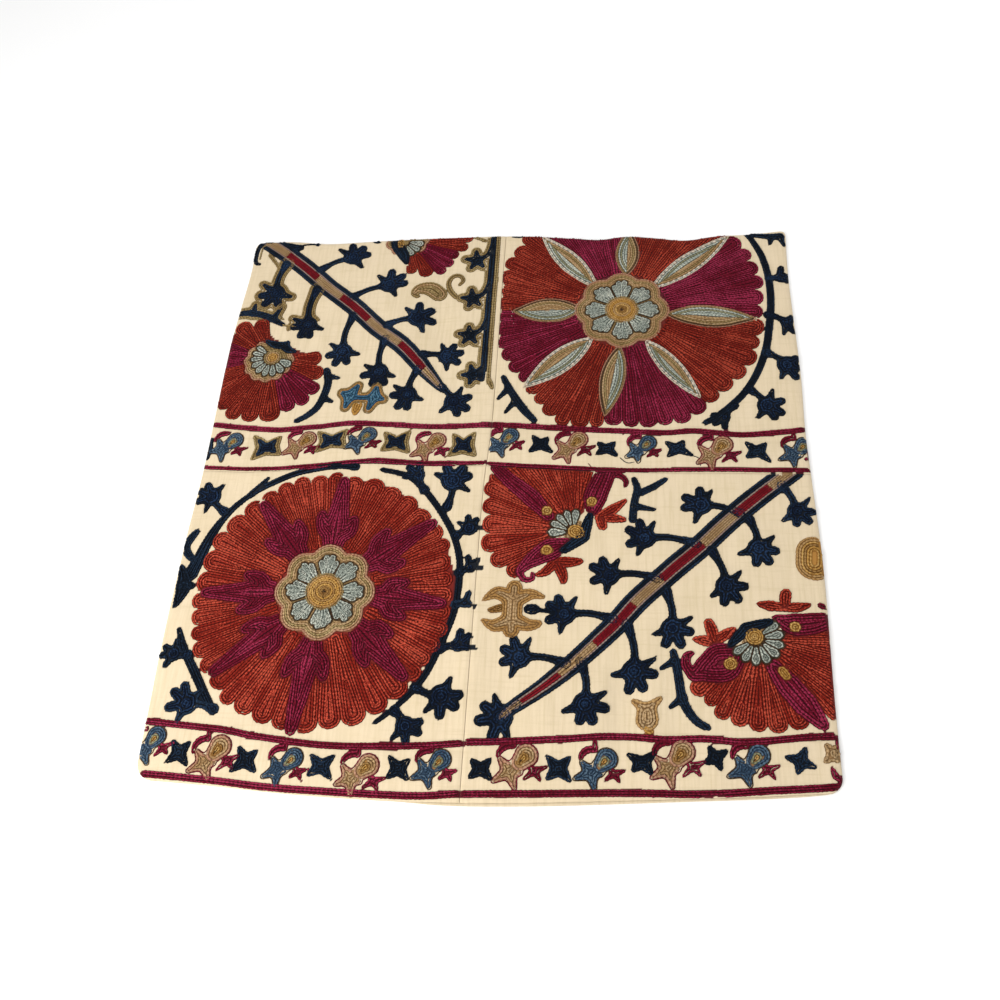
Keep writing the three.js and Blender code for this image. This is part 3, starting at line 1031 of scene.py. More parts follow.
def roundFlower():
    flower = roundRosette
    cx, cy = flower["middle"]
    fleurs = [fleur(cx, cy, *row) for row in fleurRows]
    heart = lobed(cx, cy, 41.0, 8, 5.0)
    clear = outside(*fleurs, heart, margin=0.6)
    paintCloth(lobed(cx, cy, 104.0), "rust")
    turns = sorted(row[0] for row in fleurRows)
    for start, end in zip(turns, turns[1:] + [turns[0] + 360]):
        fan(flower, start, end, "rust", clear)
    for shape in fleurs:
        fill(shape, "maroon", outside(heart, margin=0.6))
    petalHeart(cx, cy, 41.0, 32.0, 15.0)


bench["patch"] = "lower_left"
roundFlower()


# Upper right rosette: fans of rust and maroon between eight long leaves.
print("laying the rayed rosette")
rayRosette = {
    "middle": (103.0, 165.0),
    "inner": 40.0,
    "rim": [(-185, 114), (-157, 116), (-135, 118), (-112, 130), (-90, 122), (-67, 128),
            (-45, 125), (-22, 126), (0, 123), (22, 132), (45, 135), (70, 127), (95, 122),
            (129, 130), (155, 120), (175, 114), (203, 116), (225, 118)],
    "lobesEach": 6,
}
# base x and y, tip x and y, width, dashed edge, side of the tan half, yarn of the fan that
# follows it anticlockwise
rayRows = [
    ((141, 160), (222, 154), 24, False, -1, "maroon"),
    ((129, 188), (203, 252), 22, True, -1, "brick"),
    ((107, 204), (110, 262), 22, False, -1, "maroon"),
    ((81, 191), (28, 256), 21, True, -1, "brick"),
    ((68, 166), (4, 166), 27, False, -1, "maroon"),
    ((78, 135), (17, 82), 24, True, -1, "brick"),
    ((101, 126), (88, 52), 22, False, -1, "maroon"),
    ((123, 132), (170, 70), 19, True, 1, "brick"),
]


def rayFlower():
    flower = rayRosette
    cx, cy = flower["middle"]
    heart = lobed(cx, cy, 41.0, 8, 5.0)
    leafShapes = [leafOutline(*base, *tip, width) for base, tip, width, *_ in rayRows]
    clear = outside(*leafShapes, heart, margin=0.5)
    turns = [math.degrees(math.atan2(tip[1] - cy, tip[0] - cx)) for _, tip, *_ in rayRows]
    turns = [t + 360 * (t < turns[0]) for t in turns] + [turns[0] + 360]
    for start, end, (*_, yarn) in zip(turns[:-1], turns[1:], rayRows):
        middle = math.radians((start + end) / 2)
        halfTurn = math.radians(end - start) / 2
        tips = [around(cx, cy, 108, middle + a) for a in np.linspace(-halfTurn, halfTurn, 7)]
        paintCloth(outline([(cx, cy)] + tips), yarn)
        fan(flower, start, end, yarn, clear)
    for base, tip, width, dashed, side, _ in rayRows:
        rayLeaf(*base, *tip, width, dashed, side, outside(heart, margin=0.5))
    petalHeart(cx, cy, 42.5, 33.0, 14.5)


bench["patch"] = "upper_right"
rayFlower()
bench["patch"] = None


# Vines that ring the two rosettes, with their sprigs.
print("laying vines and sprigs")
vine([(-98, 1.0), (-75, -5), (-60, -18), (-48, -33), (-40, -45), (-32, -60), (-26, -80), (-25, -100),
      (-27, -125), (-35, -150), (-45, -175), (-55, -190), (-70, -205), (-80, -213)],
     [2.0, 2.6, 2.6, 2.6, 2.6, 2.6, 2.4, 1.8])
vine([(-120, 3.5), (-135, 5.0), (-160, 1.0), (-185, -8), (-205, -20), (-220, -33), (-230, -48),
      (-237, -65), (-243, -85), (-246, -95)], [3.4, 3.2, 2.8, 2.6, 2.6, 3.0, 4.5, 6.0],
     (-208, -22, -195, -6))
vine([(-246, -143), (-238, -160), (-228, -175), (-215, -195), (-206, -208)], [2.0, 3.0, 3.4, 3.4, 3.0])
vine([(215, 256), (222, 245), (230, 225), (234, 200), (234, 170), (230, 140), (226, 120), (218, 98),
      (208, 80), (195, 65), (180, 52), (172, 47)], [2.4, 2.9, 3.1, 3.1, 3.1, 3.0, 2.9, 2.5])
vine([(0, 94), (8, 78), (18, 62), (29, 49)], [2.4, 3.2, 3.6, 2.6], (5, 82, -4, 71), (12, 70, 3, 57))
vine([(-160, 104), (-157, 92), (-158, 80), (-163, 65), (-172, 55), (-180, 50)],
     [3.0, 3.4, 3.2, 3.0, 2.4], (-158, 97, -147, 95), (-159, 74, -150, 70))
vine([(140, -153), (143, -170), (146, -190), (154, -204), (163, -209.5)], [2.6, 3.2, 3.2, 2.6],
     (141, -160, 130, -167), (146, -188, 136, -196))
vine([(112, -7), (115, -16), (112, -30), (111, -44)], [2.2, 3.0, 2.8, 3.2], (113, -32, 129, -35))
vine([(138, -7), (128, -14), (117, -20)], [2.0, 2.8, 3.0])
vine([(1, 257), (9, 256)], [1.6, 1.6])
vine([(-134, 254.5), (-129, 253.5)], [1.6, 1.8])
# an arc over the cut flower, edged with khaki above
arc = vine([(-257, 169), (-242, 170), (-226, 166), (-213, 158), (-208, 155)],
           [2.4, 3.2, 3.4, 2.0], (-240, 169, -239, 180), (-219, 163, -213, 177))
edged(arc, lambda x, y: (y > 161) & (x < -206))

sprigRows = [
    # hub x and y, stalk's root x and y, size, side, and the lobes where there aren't five
    (-152, 236, -182, 220, 1.05, 1), (-113, 201, -148, 186, 1.05, 1), (-82, 160, -110, 153, 1.05, 1),
    (-52, 118, -74, 120, 0.95, 1), (-148, 124, -143, 165, 1.0, -1), (-112, 101, -110, 137, 1.0, -1),
    (-84, 77, -77, 104, 1.0, -1), (-42, 69, -54, 84, 1.0, 1), (165, -30, 195, -37, 1.0, -1),
    (120, -60, 160, -64, 1.0, -1), (92, -92, 130, -94, 0.98, -1), (58, -125, 95, -128, 1.0, -1),
    (25, -160, 60, -164, 1.0, -1), (240, -35, 230, -12, 0.9, 1), (208, -68, 202, -42, 1.0, 1),
    (182, -100, 172, -70, 1.0, 1), (140, -135, 136, -105, 1.0, 1), (111, -169, 106, -132, 1.05, 1),
    (75, -195, 72, -163, 1.05, 1), (13, -206, 24, -197, 1.1, -1), (-66, -4, -60, -18, 0.85, 1, 1, 2, 3),
    (-37, -9, -40, -34, 1.1, -1), (-20, -53, -30, -60, 0.75, 1, 0, 1, 2, 3),
    (-17, -88, -25, -92, 0.7, 1, 1, 2, 3), (-19, -118, -26, -119, 0.65, 1, 1, 3),
    (-22, -152, -36, -155, 0.85, 1, 1, 2, 3), (-32, -192, -52, -186, 1.05, -1),
    (-57, -215, -66, -204, 0.85, 1, 1, 2, 3, 4), (-243, -24, -229, -38, 0.95, 1),
    (-246, -163, -235, -164, 0.75, 1, 1, 2, 3, 4), (-228, -202, -206, -206, 1.0, -1),
    (244, 200, 235, 199, 0.8, 1, 1, 2, 3), (246, 150, 231, 158, 0.85, 1, 1, 3, 4),
    (243, 105, 227, 117, 1.0, 1, 1, 2, 3, 4), (224, 64, 210, 80, 1.0, 1),
    (188, 52, 196, 64, 0.75, -1, 1, 2, 3),
]
for row in sprigRows:
    sprig(*row)
edged(sprig(-222, 193, -217, 228, 1.05, -1))
edged(sprig(-185, 155, -182, 197, 1.0, -1), lambda x, y: (y - 155) > 0.4 * (x + 185))
vine([(222, 251), (236, 249), (248, 249)], [2.2, 3.0, 4.0],
     (240, 248, 238, 239), (248, 248, 251, 237))
vine([(-249, -57), (-256, -70), (-252, -78), (-246, -83)], [2.6, 3.6, 3.4, 2.6])
vine([(-256, -88), (-250, -106), (-254, -124)], [1.8, 6.5, 1.8])
vine([(-250, -106), (-243, -106)], [5.0, 3.0])
fill(strokes([(31, -121.5, 4.4, 35, -121.5, 4.4), (35, -121.5, 1.7, 52, -124, 1.7)], soft=0.6), "navy")


# Diagonal stems.
print("laying the stems")
leftStem = bigStem([(-250, 264), (-232, 252), (-200, 226), (-170, 198), (-143, 175), (-118, 150),
                    (-92, 128), (-72, 105), (-55, 84)], [9.4, 9.5, 9.5, 9.5, 9.4, 9.2, 9.0, 8.6, 4.0],
                   [(0.16, 0.32), (0.45, 0.60), (0.76, 0.90)])
edgeRow(leftStem, "khaki", 0.8, 1.6, 0.8, lambda x, y: (x + y < -4) & (x > -236) & (x < -150))
bigStem([(14, -206), (20, -200), (45, -182), (70, -160), (95, -135), (115, -112), (140, -88),
         (165, -65), (190, -40), (215, -18), (244, 6)],
        [5.0, 6.4, 7.8, 8.6, 9.2, 9.4, 9.5, 9.5, 9.5, 9.4, 9.3],
        [(0.06, 0.17), (0.28, 0.42), (0.52, 0.66), (0.78, 0.90)])


def lobes(middle, inner, lobeRows, keep):
    # the long lobes of a cut flower, each with its two bounds, its reach and its yarn
    for start, end, reach, yarn in lobeRows:
        fill(wedge(*middle, start, end, inner, reach), yarn, keep)


def cutFlower(form):
    # lobes round a scalloped ring, and grey petals on the ring; the seam cuts the flower off
    ring, calyx = lobed(*form["ring"]), bent(*form["calyx"])
    shapes = petalShapes(*form["petals"])
    hole = [lobed(*form["hole"])] if "hole" in form else []
    paintCloth(outline(form["ground"]), "brick")
    lobes(form["middle"], form["inner"], form["lobes"], outside(ring, calyx, margin=0.6))
    paintCloth(ring, "khaki")
    fill(ring, "blush tan tan khaki", outside(*hole, calyx, *shapes, margin=0.6), pitch=1.9)
    clear = outside(calyx, margin=0.5)
    petals(shapes, clear)
    if hole:
        x, y, radius = form["hole"]
        fill(lobed(x, y, radius + 0.5), "khaki tan gold", clear, pitch=1.8)
    fill(calyx, "navy")


# Upper left patch: two cut flowers, the upright stem with stars, and the rest.
print("laying the upper left patch")
bench["patch"] = "upper_left"
leftFlower = {
    "middle": (-213.0, 116.0),
    "inner": 17.0,
    "lobes": [
        (102, 122, 50, "brick"), (122, 142, 57, "brick"), (142, 154, 62, "brick"),
        (154, 166, 62, "maroon"), (166, 179, 60, "maroon"), (179, 191, 60, "maroon"),
        (191, 207, 60, "brick"), (207, 224, 62, "brick"), (224, 238, 66, "brick"),
        (238, 252, 69, "brick"), (252, 268, 67, "brick"), (268, 287, 67, "brick"),
        (287, 302, 61, "maroon"), (302, 316, 62, "maroon"), (316, 331, 60, "maroon"),
        (331, 351, 53, "brick"), (351, 372, 47, "brick"),
    ],
    "ground": [(-213, 140), (-226, 158), (-262, 140), (-262, 80), (-235, 60), (-200, 58),
               (-172, 88), (-166, 116), (-180, 122)],
    "ring": (-215.0, 115.0, 24.0, 12, 2.6),
    "hole": (-212, 118, 8.0),
    "petals": ((-212, 118), (133, 154, 174, 196, 219, 243, 267, 291, 318, 348), 8.0, 21.0, 1),
    "calyx": [([(-221, 137), (-212, 132.5), (-203, 131.5)], [2.0, 4.2, 4.2]),
              ([(-203, 132), (-199, 126.5), (-191, 124)], [4.2, 4.0, 1.5]),
              ([(-203, 132), (-200, 136)], [3.6, 1.8])],
}
topFlower = {
    "middle": (-101.0, 256.0),
    "inner": 16.0,
    "lobes": [
        (-87, -71, 44, "brick"), (-71, -54, 53, "brick"), (-54, -42, 58, "maroon"),
        (-42, -30, 57, "maroon"), (-30, -18, 56, "maroon"), (-18, -6, 61, "brick"),
        (-6, 8, 64, "brick"),
    ],
    "ground": [(-98, 250), (-97, 222), (-70, 214), (-56, 232), (-54, 256)],
    "ring": (-101.0, 256.0, 22.0, 9, 2.6),
    "petals": ((-104, 253), (-98, -72, -48, -24, 4), 5.0, 20.0, 2),
    "calyx": [([(-113, 258), (-110, 248), (-104, 238), (-99, 226)], [5.5, 6.0, 5.5, 1.8])],
}
cutFlower(leftFlower)
cutFlower(topFlower)
fill(strokes([(-107, 253, 3.6, -107, 248, 3.0)]), "gold", pitch=1.8, rise=1.15)

# the upright stem: its stars hang from it on bent arms
stars = ((-32, 228, 95), (-33, 182, 100), (-33, 140, 95), (-27, 97, 110))
parts = limb([(-17.4, 262), (-17.8, 200), (-18.0, 140), (-18.4, 92)], [2.8, 2.8, 2.8, 2.2])
for x, y, turn in stars:
    parts.append((x, y, 5.6, x + 0.1, y, 5.6))
    for k in range(5):
        a = math.radians(turn + 72 * k + draws.uniform(-6, 6))
        parts.append((x, y, 3.9, *around(x, y, draws.uniform(9.6, 11.0), a), 1.7))
    parts += limb([(x + 4, y + 2), (x + 10, y + 6), (-18.5, y + 17)], [2.2, 2.0, 2.2])
uprightStem = strokes(parts, soft=1.2)
fill(uprightStem, "navy")
edged(uprightStem, lambda x, y: x < -20.5)
cord([(-12.8, 260), (-12.6, 200), (-12.9, 140), (-13.2, 88)], "khaki", 2, pitch=1.9)
fill(bent(([(-12.5, 92), (-10.5, 86), (-8.5, 81)], [2.0, 2.4, 1.0])), "khaki")
cord([(-36, 257), (-29, 254), (-24, 251)], "khaki", 2)
leaves("khaki tan khaki", ([(-65, 188), (-73, 194), (-84, 194), (-88, 189), (-84, 185)],
                           [8.0, 8.5, 6.5, 4.0, 2.2]))
leaves("khaki", ([(-48, 184), (-54, 191), (-57, 201), (-53, 209), (-46, 209), (-43, 203), (-47, 198)],
                 [2.6, 2.6, 2.5, 2.4, 2.2, 2.0, 1.8]))

# the two-winged bud
wings = strokes([(-135, 76, 6.0, -129, 87, 2.0), (-135, 76, 5.6, -142, 79, 2.5),
                 (-135, 76, 5.0, -138, 64, 2.0), (-113, 75, 6.0, -112, 85, 2.0),
                 (-113, 75, 5.0, -105, 72, 2.0), (-113, 75, 5.0, -117, 62, 2.0)]
                + limb([(-133, 75), (-124, 74), (-115, 75)], [2.6, 2.4, 2.6]), soft=1.6)
fill(wings, "teal")
edgeRow(wings, "amber", 0.8, 1.7, 0.85)
edgeRow(wings, "khaki", 2.3, 1.7, 0.85)
leaves("gold", ([(-127, 66), (-128, 61), (-128, 56)], [4.6, 4.0, 1.4]),
       keep=outside(rounded(wings, 2.8)))

# hook and leaf in the corner
leaves("navy", ([(-234, 257), (-243, 257), (-248, 250), (-249, 240), (-248, 231), (-243, 229)],
                [2.0, 2.2, 2.3, 2.3, 2.2, 1.6]))
cord([(-236, 252), (-243, 252), (-244.5, 244), (-244.6, 235)], "khaki")
leaves("navy", ([(-222, 253), (-212, 249), (-206, 249)], [2.8, 4.4, 3.8]))
cord([(-206, 251), (-200, 253), (-190, 253)], "navy")
fill(lobed(-189.5, 252.5, 2.8), "navy")
cord([(-236, 241), (-228, 231), (-222, 222)], "khaki", 2)
cord([(-209, 155), (-205, 154), (-196, 153)], "khaki")


# Lower right patch: the two cut carnations and what lies between. A carnation has rust lobes
# and dark leaves over them, small trefoils beside it, and pale petals, calyx and eye on top.
print("laying the lower right patch")
bench["patch"] = "lower_right"
upperCarnation = {
    "middle": (66.0, -54.0),
    "lobes": [(76, 90, 62), (88, 103, 63), (101, 115, 67), (113, 129, 75), (127, 141, 89),
              (139, 148, 88), (146, 157, 86), (157, 169, 80), (169, 183, 76), (183, 197, 77),
              (197, 210, 73), (210, 223, 66)],
    "ground": [(-8, -2), (76, -2), (72, -40), (50, -62), (12, -82), (-4, -60)],
    "leaves": [
        [([(-2, 4), (12, -10), (28, -24), (44, -42)], [5.0, 6.5, 7.5, 4.5])],
        [([(79, -40), (81, -24), (87, -8), (92, 6)], [3.6, 9.6, 9.0, 8.0]),
         ([(92, -2), (101, -4), (106, -9), (105, -14)], [3.5, 3.0, 2.4, 1.8])],
        [([(60, -66), (45, -72), (30, -82), (22, -90)], [5.0, 9.5, 7.0, 3.0]),
         ([(22, -90), (26, -97), (33, -96), (32, -91)], [3.0, 2.6, 2.2, 1.6])],
    ],
    "dots": [(42, -37, 4.2, 42.6, -37, 4.2), (78, -28, 4.2, 78.6, -28, 4.2),
             (43, -72, 4.4, 43.6, -72, 4.4)],
    "trefoils": [
        [([(84, -42), (95, -35), (106, -26)], [3.5, 4.8, 1.6]),
         ([(86, -42), (97, -43), (104, -44)], [3.5, 4.5, 2.5]),
         ([(85, -44), (87, -50)], [4.0, 4.2])],
        [([(50, -81), (60, -82), (70, -81)], [3.5, 4.8, 2.8]),
         ([(51, -82), (56, -92), (57, -98)], [4.0, 4.8, 3.0]),
         ([(50, -82), (43, -90), (36, -93)], [3.5, 4.4, 2.0])],
    ],
    "overTrefoils": (2,),    # the numbers of the leaves that lie over the trefoils
    "disc": (66, -56, 10.5),
    "petals": ((64, -56), (72, 97, 120, 143, 167, 197), 5.0, 20.5, 1),
    "calyx": [([(77, -41), (74.5, -50), (72.5, -59)], [3.0, 4.4, 4.4]),
              ([(72.5, -60), (65, -65.5), (56.5, -72)], [4.6, 4.4, 3.2])],
    "eye": strokes([(65, -55, 5.8, 67, -56, 5.8)]),
}
lowerCarnation = {
    "middle": (203.0, -142.0),
    "lobes": [(214, 227, 66), (227, 237, 65), (237, 248, 69), (248, 260, 69), (260, 272, 70),
              (272, 285, 71), (285, 299, 72), (308, 320, 80), (320, 333, 76), (333, 346, 70),
              (346, 360, 66), (360, 375, 64)],
    "ground": [(165, -186), (180, -170), (216, -142), (256, -133), (254, -198), (200, -204),
               (175, -200)],
    "leaves": [
        [([(216, -126), (228, -130), (243, -129), (258, -125)], [3.0, 9.0, 8.5, 5.5])],
        [([(184, -155), (175, -161), (162, -167), (154, -171)], [8.5, 15.0, 10.5, 4.5]),
         ([(154, -171), (149, -163), (150, -156), (154, -154)], [4.5, 4.0, 3.4, 2.2])],
        [([(212, -163), (222, -177), (233, -191), (244, -205)], [5.5, 9.0, 9.0, 4.5])],
    ],
    "dots": [(230, -132, 4.2, 230.6, -132, 4.2), (181, -162, 4.6, 181.6, -162, 4.6),
             (218, -166, 3.2, 221, -170.5, 3.2)],
    "trefoils": [
        [([(222, -117), (213, -115.5), (204, -114)], [3.5, 4.6, 1.6]),
         ([(224, -116), (225, -108), (226, -105)], [3.6, 4.6, 4.2]),
         ([(226, -117), (235, -116), (243, -114)], [3.5, 4.4, 1.6])],
        [([(171, -145), (169, -136), (167, -130)], [3.5, 4.8, 4.0]),
         ([(173, -144), (180, -138), (186, -134)], [3.5, 4.4, 1.6]),
         ([(170, -146), (163, -144), (155, -143)], [3.5, 4.4, 1.6])],
    ],
    "overTrefoils": (0, 1),
    "disc": (201, -141, 11.5),
    "petals": ((201, -142), (-156, -132, -107, -81, -55, -28, -3, 24, 48), 5.5, 21.0, 1),
    "calyx": [([(182, -147), (189, -140), (194, -134)], [2.6, 4.0, 4.0]),
              ([(194, -133.5), (203, -131), (212, -128.5)], [4.2, 4.2, 3.0])],
    "eye": lobed(200, -140.5, 6.8),
}


def carnation(form):
    dark = [bent(*lines, soft=1.0) for lines in form["leaves"]]
    shapes, calyx, eye = petalShapes(*form["petals"]), bent(*form["calyx"]), form["eye"]
    heart = outside(*shapes, eye, calyx, margin=0.8)
    clear = outside(*dark, margin=0.6)
    clearOfDots = outside(*[strokes([dot]) for dot in form["dots"]], margin=0.3)
    paintCloth(outline(form["ground"]), "rust")
    # the upper flower's top runs straight into the braid
    lobes(form["middle"], 12.0, [(*row, "rust") for row in form["lobes"]],
          lambda x, y: clear(x, y) & heart(x, y) & (y < 3.6 - 0.055 * x))
    for shape in dark:
        fill(shape, "maroon", lambda x, y: clearOfDots(x, y) & heart(x, y))
    over = outside(calyx, *[dark[k] for k in form["overTrefoils"]], margin=0.5)
    for lines in form["trefoils"]:
        leaves("rust", *lines, keep=over)
    fill(lobed(*form["disc"]), "tan", outside(*shapes, eye, calyx, *dark, margin=0.4))
    petals(shapes, outside(calyx, margin=0.4))
    fill(calyx, "navy")
    fill(eye, "gold", pitch=1.8, rise=1.1)


carnation(upperCarnation)

# the tan leaf with two pairs of wings, and the small tan and golden forms beside it
leaves("amber amber tan", ([(18, -114), (6, -108.5), (-5, -115)], [7.0, 5.4, 1.2]),
       ([(20, -114), (32, -109), (43, -112)], [7.0, 5.2, 1.2]), ([(19, -112), (19, -104)], [6.0, 6.4]),
       ([(18, -114), (18, -131)], [8.0, 8.0]), ([(16, -131), (5, -135.5), (-5, -131)], [7.0, 5.2, 1.2]),
       ([(20, -131), (31, -134.5), (39, -133)], [7.0, 5.4, 3.0]),
       ([(18, -134), (18, -139)], [6.0, 6.4]), soft=0.7)
leaves("ochre", ([(9, -121), (4, -122.5), (-1, -123)], [3.6, 3.0, 1.2]))
leaves("amber tan", ([(120, -198), (110, -191)], [4.8, 2.0]), ([(120, -198), (130, -189)], [4.8, 2.0]),
       ([(120, -200), (120, -205)], [7.6, 8.4]))
fill(strokes([(119, -212, 2.4, 123, -214, 2.2)]), "gold")
fill(strokes([(249, -80, 14.0, 250, -71, 14.0)]), "amber amber gold ochre gold")

carnation(lowerCarnation)
fill(strokes([(250, -114, 2.4, 254, -116, 2.4)]), "maroon")
# golden eyes on the dark leaves
for dot in upperCarnation["dots"] + lowerCarnation["dots"]:
    fill(strokes([dot]), "gold", pitch=1.8, rise=1.05)
bench["patch"] = None

# loose ends of thread
looseEnds = [
    ("maroon", [(75, 7), (79, 1), (78, -5)]), ("navy", [(101, 13), (107, 8), (113, 9)]),
    ("navy", [(160, 15), (167, 11), (166, 5)]),
    ("cream", [(-1, 172), (5, 164), (3, 156), (9, 150)]), ("maroon", [(-33, -236), (-25, -232)]),
]
for yarn, line in looseEnds:
    layRow(yarn, curve(line), 0.7, 0.5)
print("rows laid:", len(rows))


# Laying the rows on the cloth. A row is a chain of loops: each loop's two strands spread and
# meet again, so its section has two humps with a groove between them.
chain = {
    "spread": 0.31,          # where a hump stands, as a share of the width, in mid loop
    "pinch": 0.20,           # and where one loop hangs in the next
    "groove": 0.68,          # height of the groove over the humps'
    "wider": 0.10,           # how much a loop swells in its middle
    "sink": 0.12,            # the row's edges lie this far in the cloth, in mm
    "lean": 0.35,            # humps trail the row's middle by this share of a step
    "waver": 0.07,           # rows stray sideways by about this much, in mm
    "uneven": 0.10,          # share by which the loops' height varies
    "strip": (0.0, 0.27, 0.5, 0.73, 1.0),    # the section's five points across the wool's map
    "rim": 0.9,              # rows keep this far from the cover's rim
    "seam": 0.7,             # and from the seams between the patches
}


def toFrame(px, py, z):
    # plan millimetres to metres of the shared frame
    return np.stack([px + planShift[0], py + planShift[1], z], -1) * mm


def surface(px, py):
    # a point of the cloth's face and the way that it looks there
    def height(x, y):
        return clothTop(*nominalPoint(x, y))
    reach = 0.6
    z = height(px, py)
    slopeX = (height(px + reach, py) - height(px - reach, py)) / (2 * reach)
    slopeY = (height(px, py + reach) - height(px, py - reach)) / (2 * reach)
    normal = np.stack([-slopeX, -slopeY, np.ones_like(z)], -1)
    return z, normal / np.linalg.norm(normal, axis=-1, keepdims=True)


def meshOf(name, vertices, faces, smooth=True):
    # faces is a list of arrays, each with faces of one number of corners
    mesh = bpy.data.meshes.new(name)
    faces = [np.asarray(f, np.int32) for f in faces if len(f)]
    loops = np.concatenate([f.ravel() for f in faces])
    sizes = np.concatenate([np.full(len(f), f.shape[1]) for f in faces])
    mesh.vertices.add(len(vertices))
    mesh.vertices.foreach_set("co", np.asarray(vertices, np.float32).ravel())
    mesh.loops.add(len(loops))
    mesh.loops.foreach_set("vertex_index", loops)
    mesh.polygons.add(len(sizes))
    mesh.polygons.foreach_set("loop_start", np.concatenate([[0], np.cumsum(sizes)[:-1]]))
    mesh.polygons.foreach_set("use_smooth", np.full(len(sizes), smooth))
    mesh.update(calc_edges=True)
    piece = bpy.data.objects.new(name, mesh)
    bpy.context.scene.collection.objects.link(piece)
    return piece


def giveUv(piece, name, uv):
    # uv holds one pair for each vertex
    layer = piece.data.uv_layers.new(name=name)
    corner = np.empty(len(piece.data.loops), np.int32)
    piece.data.loops.foreach_get("vertex_index", corner)
    layer.data.foreach_set("uv", np.asarray(uv, np.float32)[corner].ravel())


def giveValues(piece, name, values):
    layer = piece.data.attributes.new(name, "FLOAT", "POINT")
    layer.data.foreach_set("value", np.asarray(values, np.float32))


def giveColours(piece, name, values):
    layer = piece.data.attributes.new(name, "FLOAT_COLOR", "POINT")
    layer.data.foreach_set("color", np.asarray(values, np.float32).ravel())


def planUv(vertices):
    # a flat map of the whole cover, looking down
    low, high = np.array(cadBox[0][:2]), np.array(cadBox[1][:2])
    return (vertices[:, :2] - low) / (high - low)


# the patches in the order of their numbers: 1 is added for the right, 2 for the upper ones
patchNames = sorted(patches, key=lambda name: (patches[name][1], patches[name][0]))


def sortRows():
    # every row is cut where it would leave its patch, and each patch has its rows by yarn
    points = np.concatenate([r["points"] for r in rows])
    x, y = nominalPoint(points[:, 0], points[:, 1])
    fits = (rimDistance(x, y) > chain["rim"]) & (np.abs(x - cover["seamX"]) > chain["seam"])
    fits &= np.abs(y - cover["seamY"]) > chain["seam"]
    side = np.where(x > cover["seamX"], 1, 0) + np.where(y > cover["seamY"], 2, 0)
    z, normal = surface(points[:, 0], points[:, 1])
    groups = {}
    start = 0
    for row in rows:
        stop = start + len(row["points"])
        mark = np.where(fits[start:stop], side[start:stop], -1)
        if row["patch"]:
            mark = np.where(mark == patchNames.index(row["patch"]), mark, -1)
        cuts = np.flatnonzero(np.diff(mark)) + 1
        for part in np.split(np.arange(start, stop), cuts):
            if mark[part[0] - start] < 0 or len(part) < 2:
                continue
            key = (row["yarn"], int(mark[part[0] - start]))
            wide = row["width"][part - start]
            groups.setdefault(key, []).append((row, points[part], z[part], normal[part], wide))
        start = stop
    return groups


def yarnPiece(name, group):
    # all the rows of one yarn in one patch, as one mesh
    vertices, quads, fans, uvs, shades = [], [], [], [], []
    base = 0
    strip = chain["strip"]
    for row, plan, z, normal, wide in group:
        n = len(plan)
        centre = np.column_stack([plan, z])
        way = np.gradient(centre, axis=0)
        way /= np.linalg.norm(way, axis=1, keepdims=True) + 1e-9
        across = np.cross(normal, way)
        across /= np.linalg.norm(across, axis=1, keepdims=True) + 1e-9
        loop = np.arange(n) % 2
        taper = np.ones(n)
        taper[0] = taper[-1] = 0.5
        width = wide * (1 + chain["wider"] * (loop * 2 - 1)) * taper
        rise = cover["yarnRise"] * row["rise"] * (0.9 + 0.12 * loop) * (0.55 + 0.45 * taper)
        spread = np.where(loop == 1, chain["spread"], chain["pinch"])
        # worked by hand: rows waver a little and stand unevenly
        u, v = plan[:, 0], plan[:, 1]
        waver = np.sin(u * 1.7 + v * 0.9) + np.sin(v * 2.1 - u * 0.7)
        centre = centre + across * (waver * chain["waver"])[:, None]
        rise = rise * (1 + chain["uneven"] * np.sin(u * 2.9 + v * 3.7 + row["shade"] * 5))
        sections = []
        for share, height, back in ((-0.5, None, 0), (-1, 1, 1), (0, chain["groove"], 0),
                                    (1, 1, 1), (0.5, None, 0)):
            aside = share * (spread if height == 1 else 1.0)
            lift = -chain["sink"] if height is None else rise * height
            ring = centre + across * (aside * width)[:, None] + normal * np.reshape(
                lift * np.ones(n), (n, 1))
            ring = ring - way * (back * chain["lean"] * stitch["step"])
            sections.append(ring)
        vertices.append(np.stack(sections, 1).reshape(-1, 3))
        at = base + np.arange(n - 1) * 5
        for k in range(4):
            quads.append(np.stack([at + k, at + k + 5, at + k + 6, at + k + 1], 1))
        quads.append(np.stack([at + 4, at + 9, at + 5, at], 1))
        last = base + (n - 1) * 5
        fans.append(np.array([[base, base + 1, base + 2, base + 3, base + 4],
                              [last + 4, last + 3, last + 2, last + 1, last]]))
        uvs.append(np.column_stack([np.tile(strip, n), np.repeat(np.arange(n) / 2, 5)]))
        shades.append(np.full(n * 5, row["shade"]))
        base += n * 5
    flat = np.concatenate(vertices)
    placed = toFrame(flat[:, 0], flat[:, 1], flat[:, 2])
    piece = meshOf(name, placed, [np.concatenate(quads), np.concatenate(fans)])
    giveUv(piece, "OFBake", planUv(placed))
    giveUv(piece, "stitch", np.concatenate(uvs))
    giveValues(piece, "shade", np.concatenate(shades))
    return piece


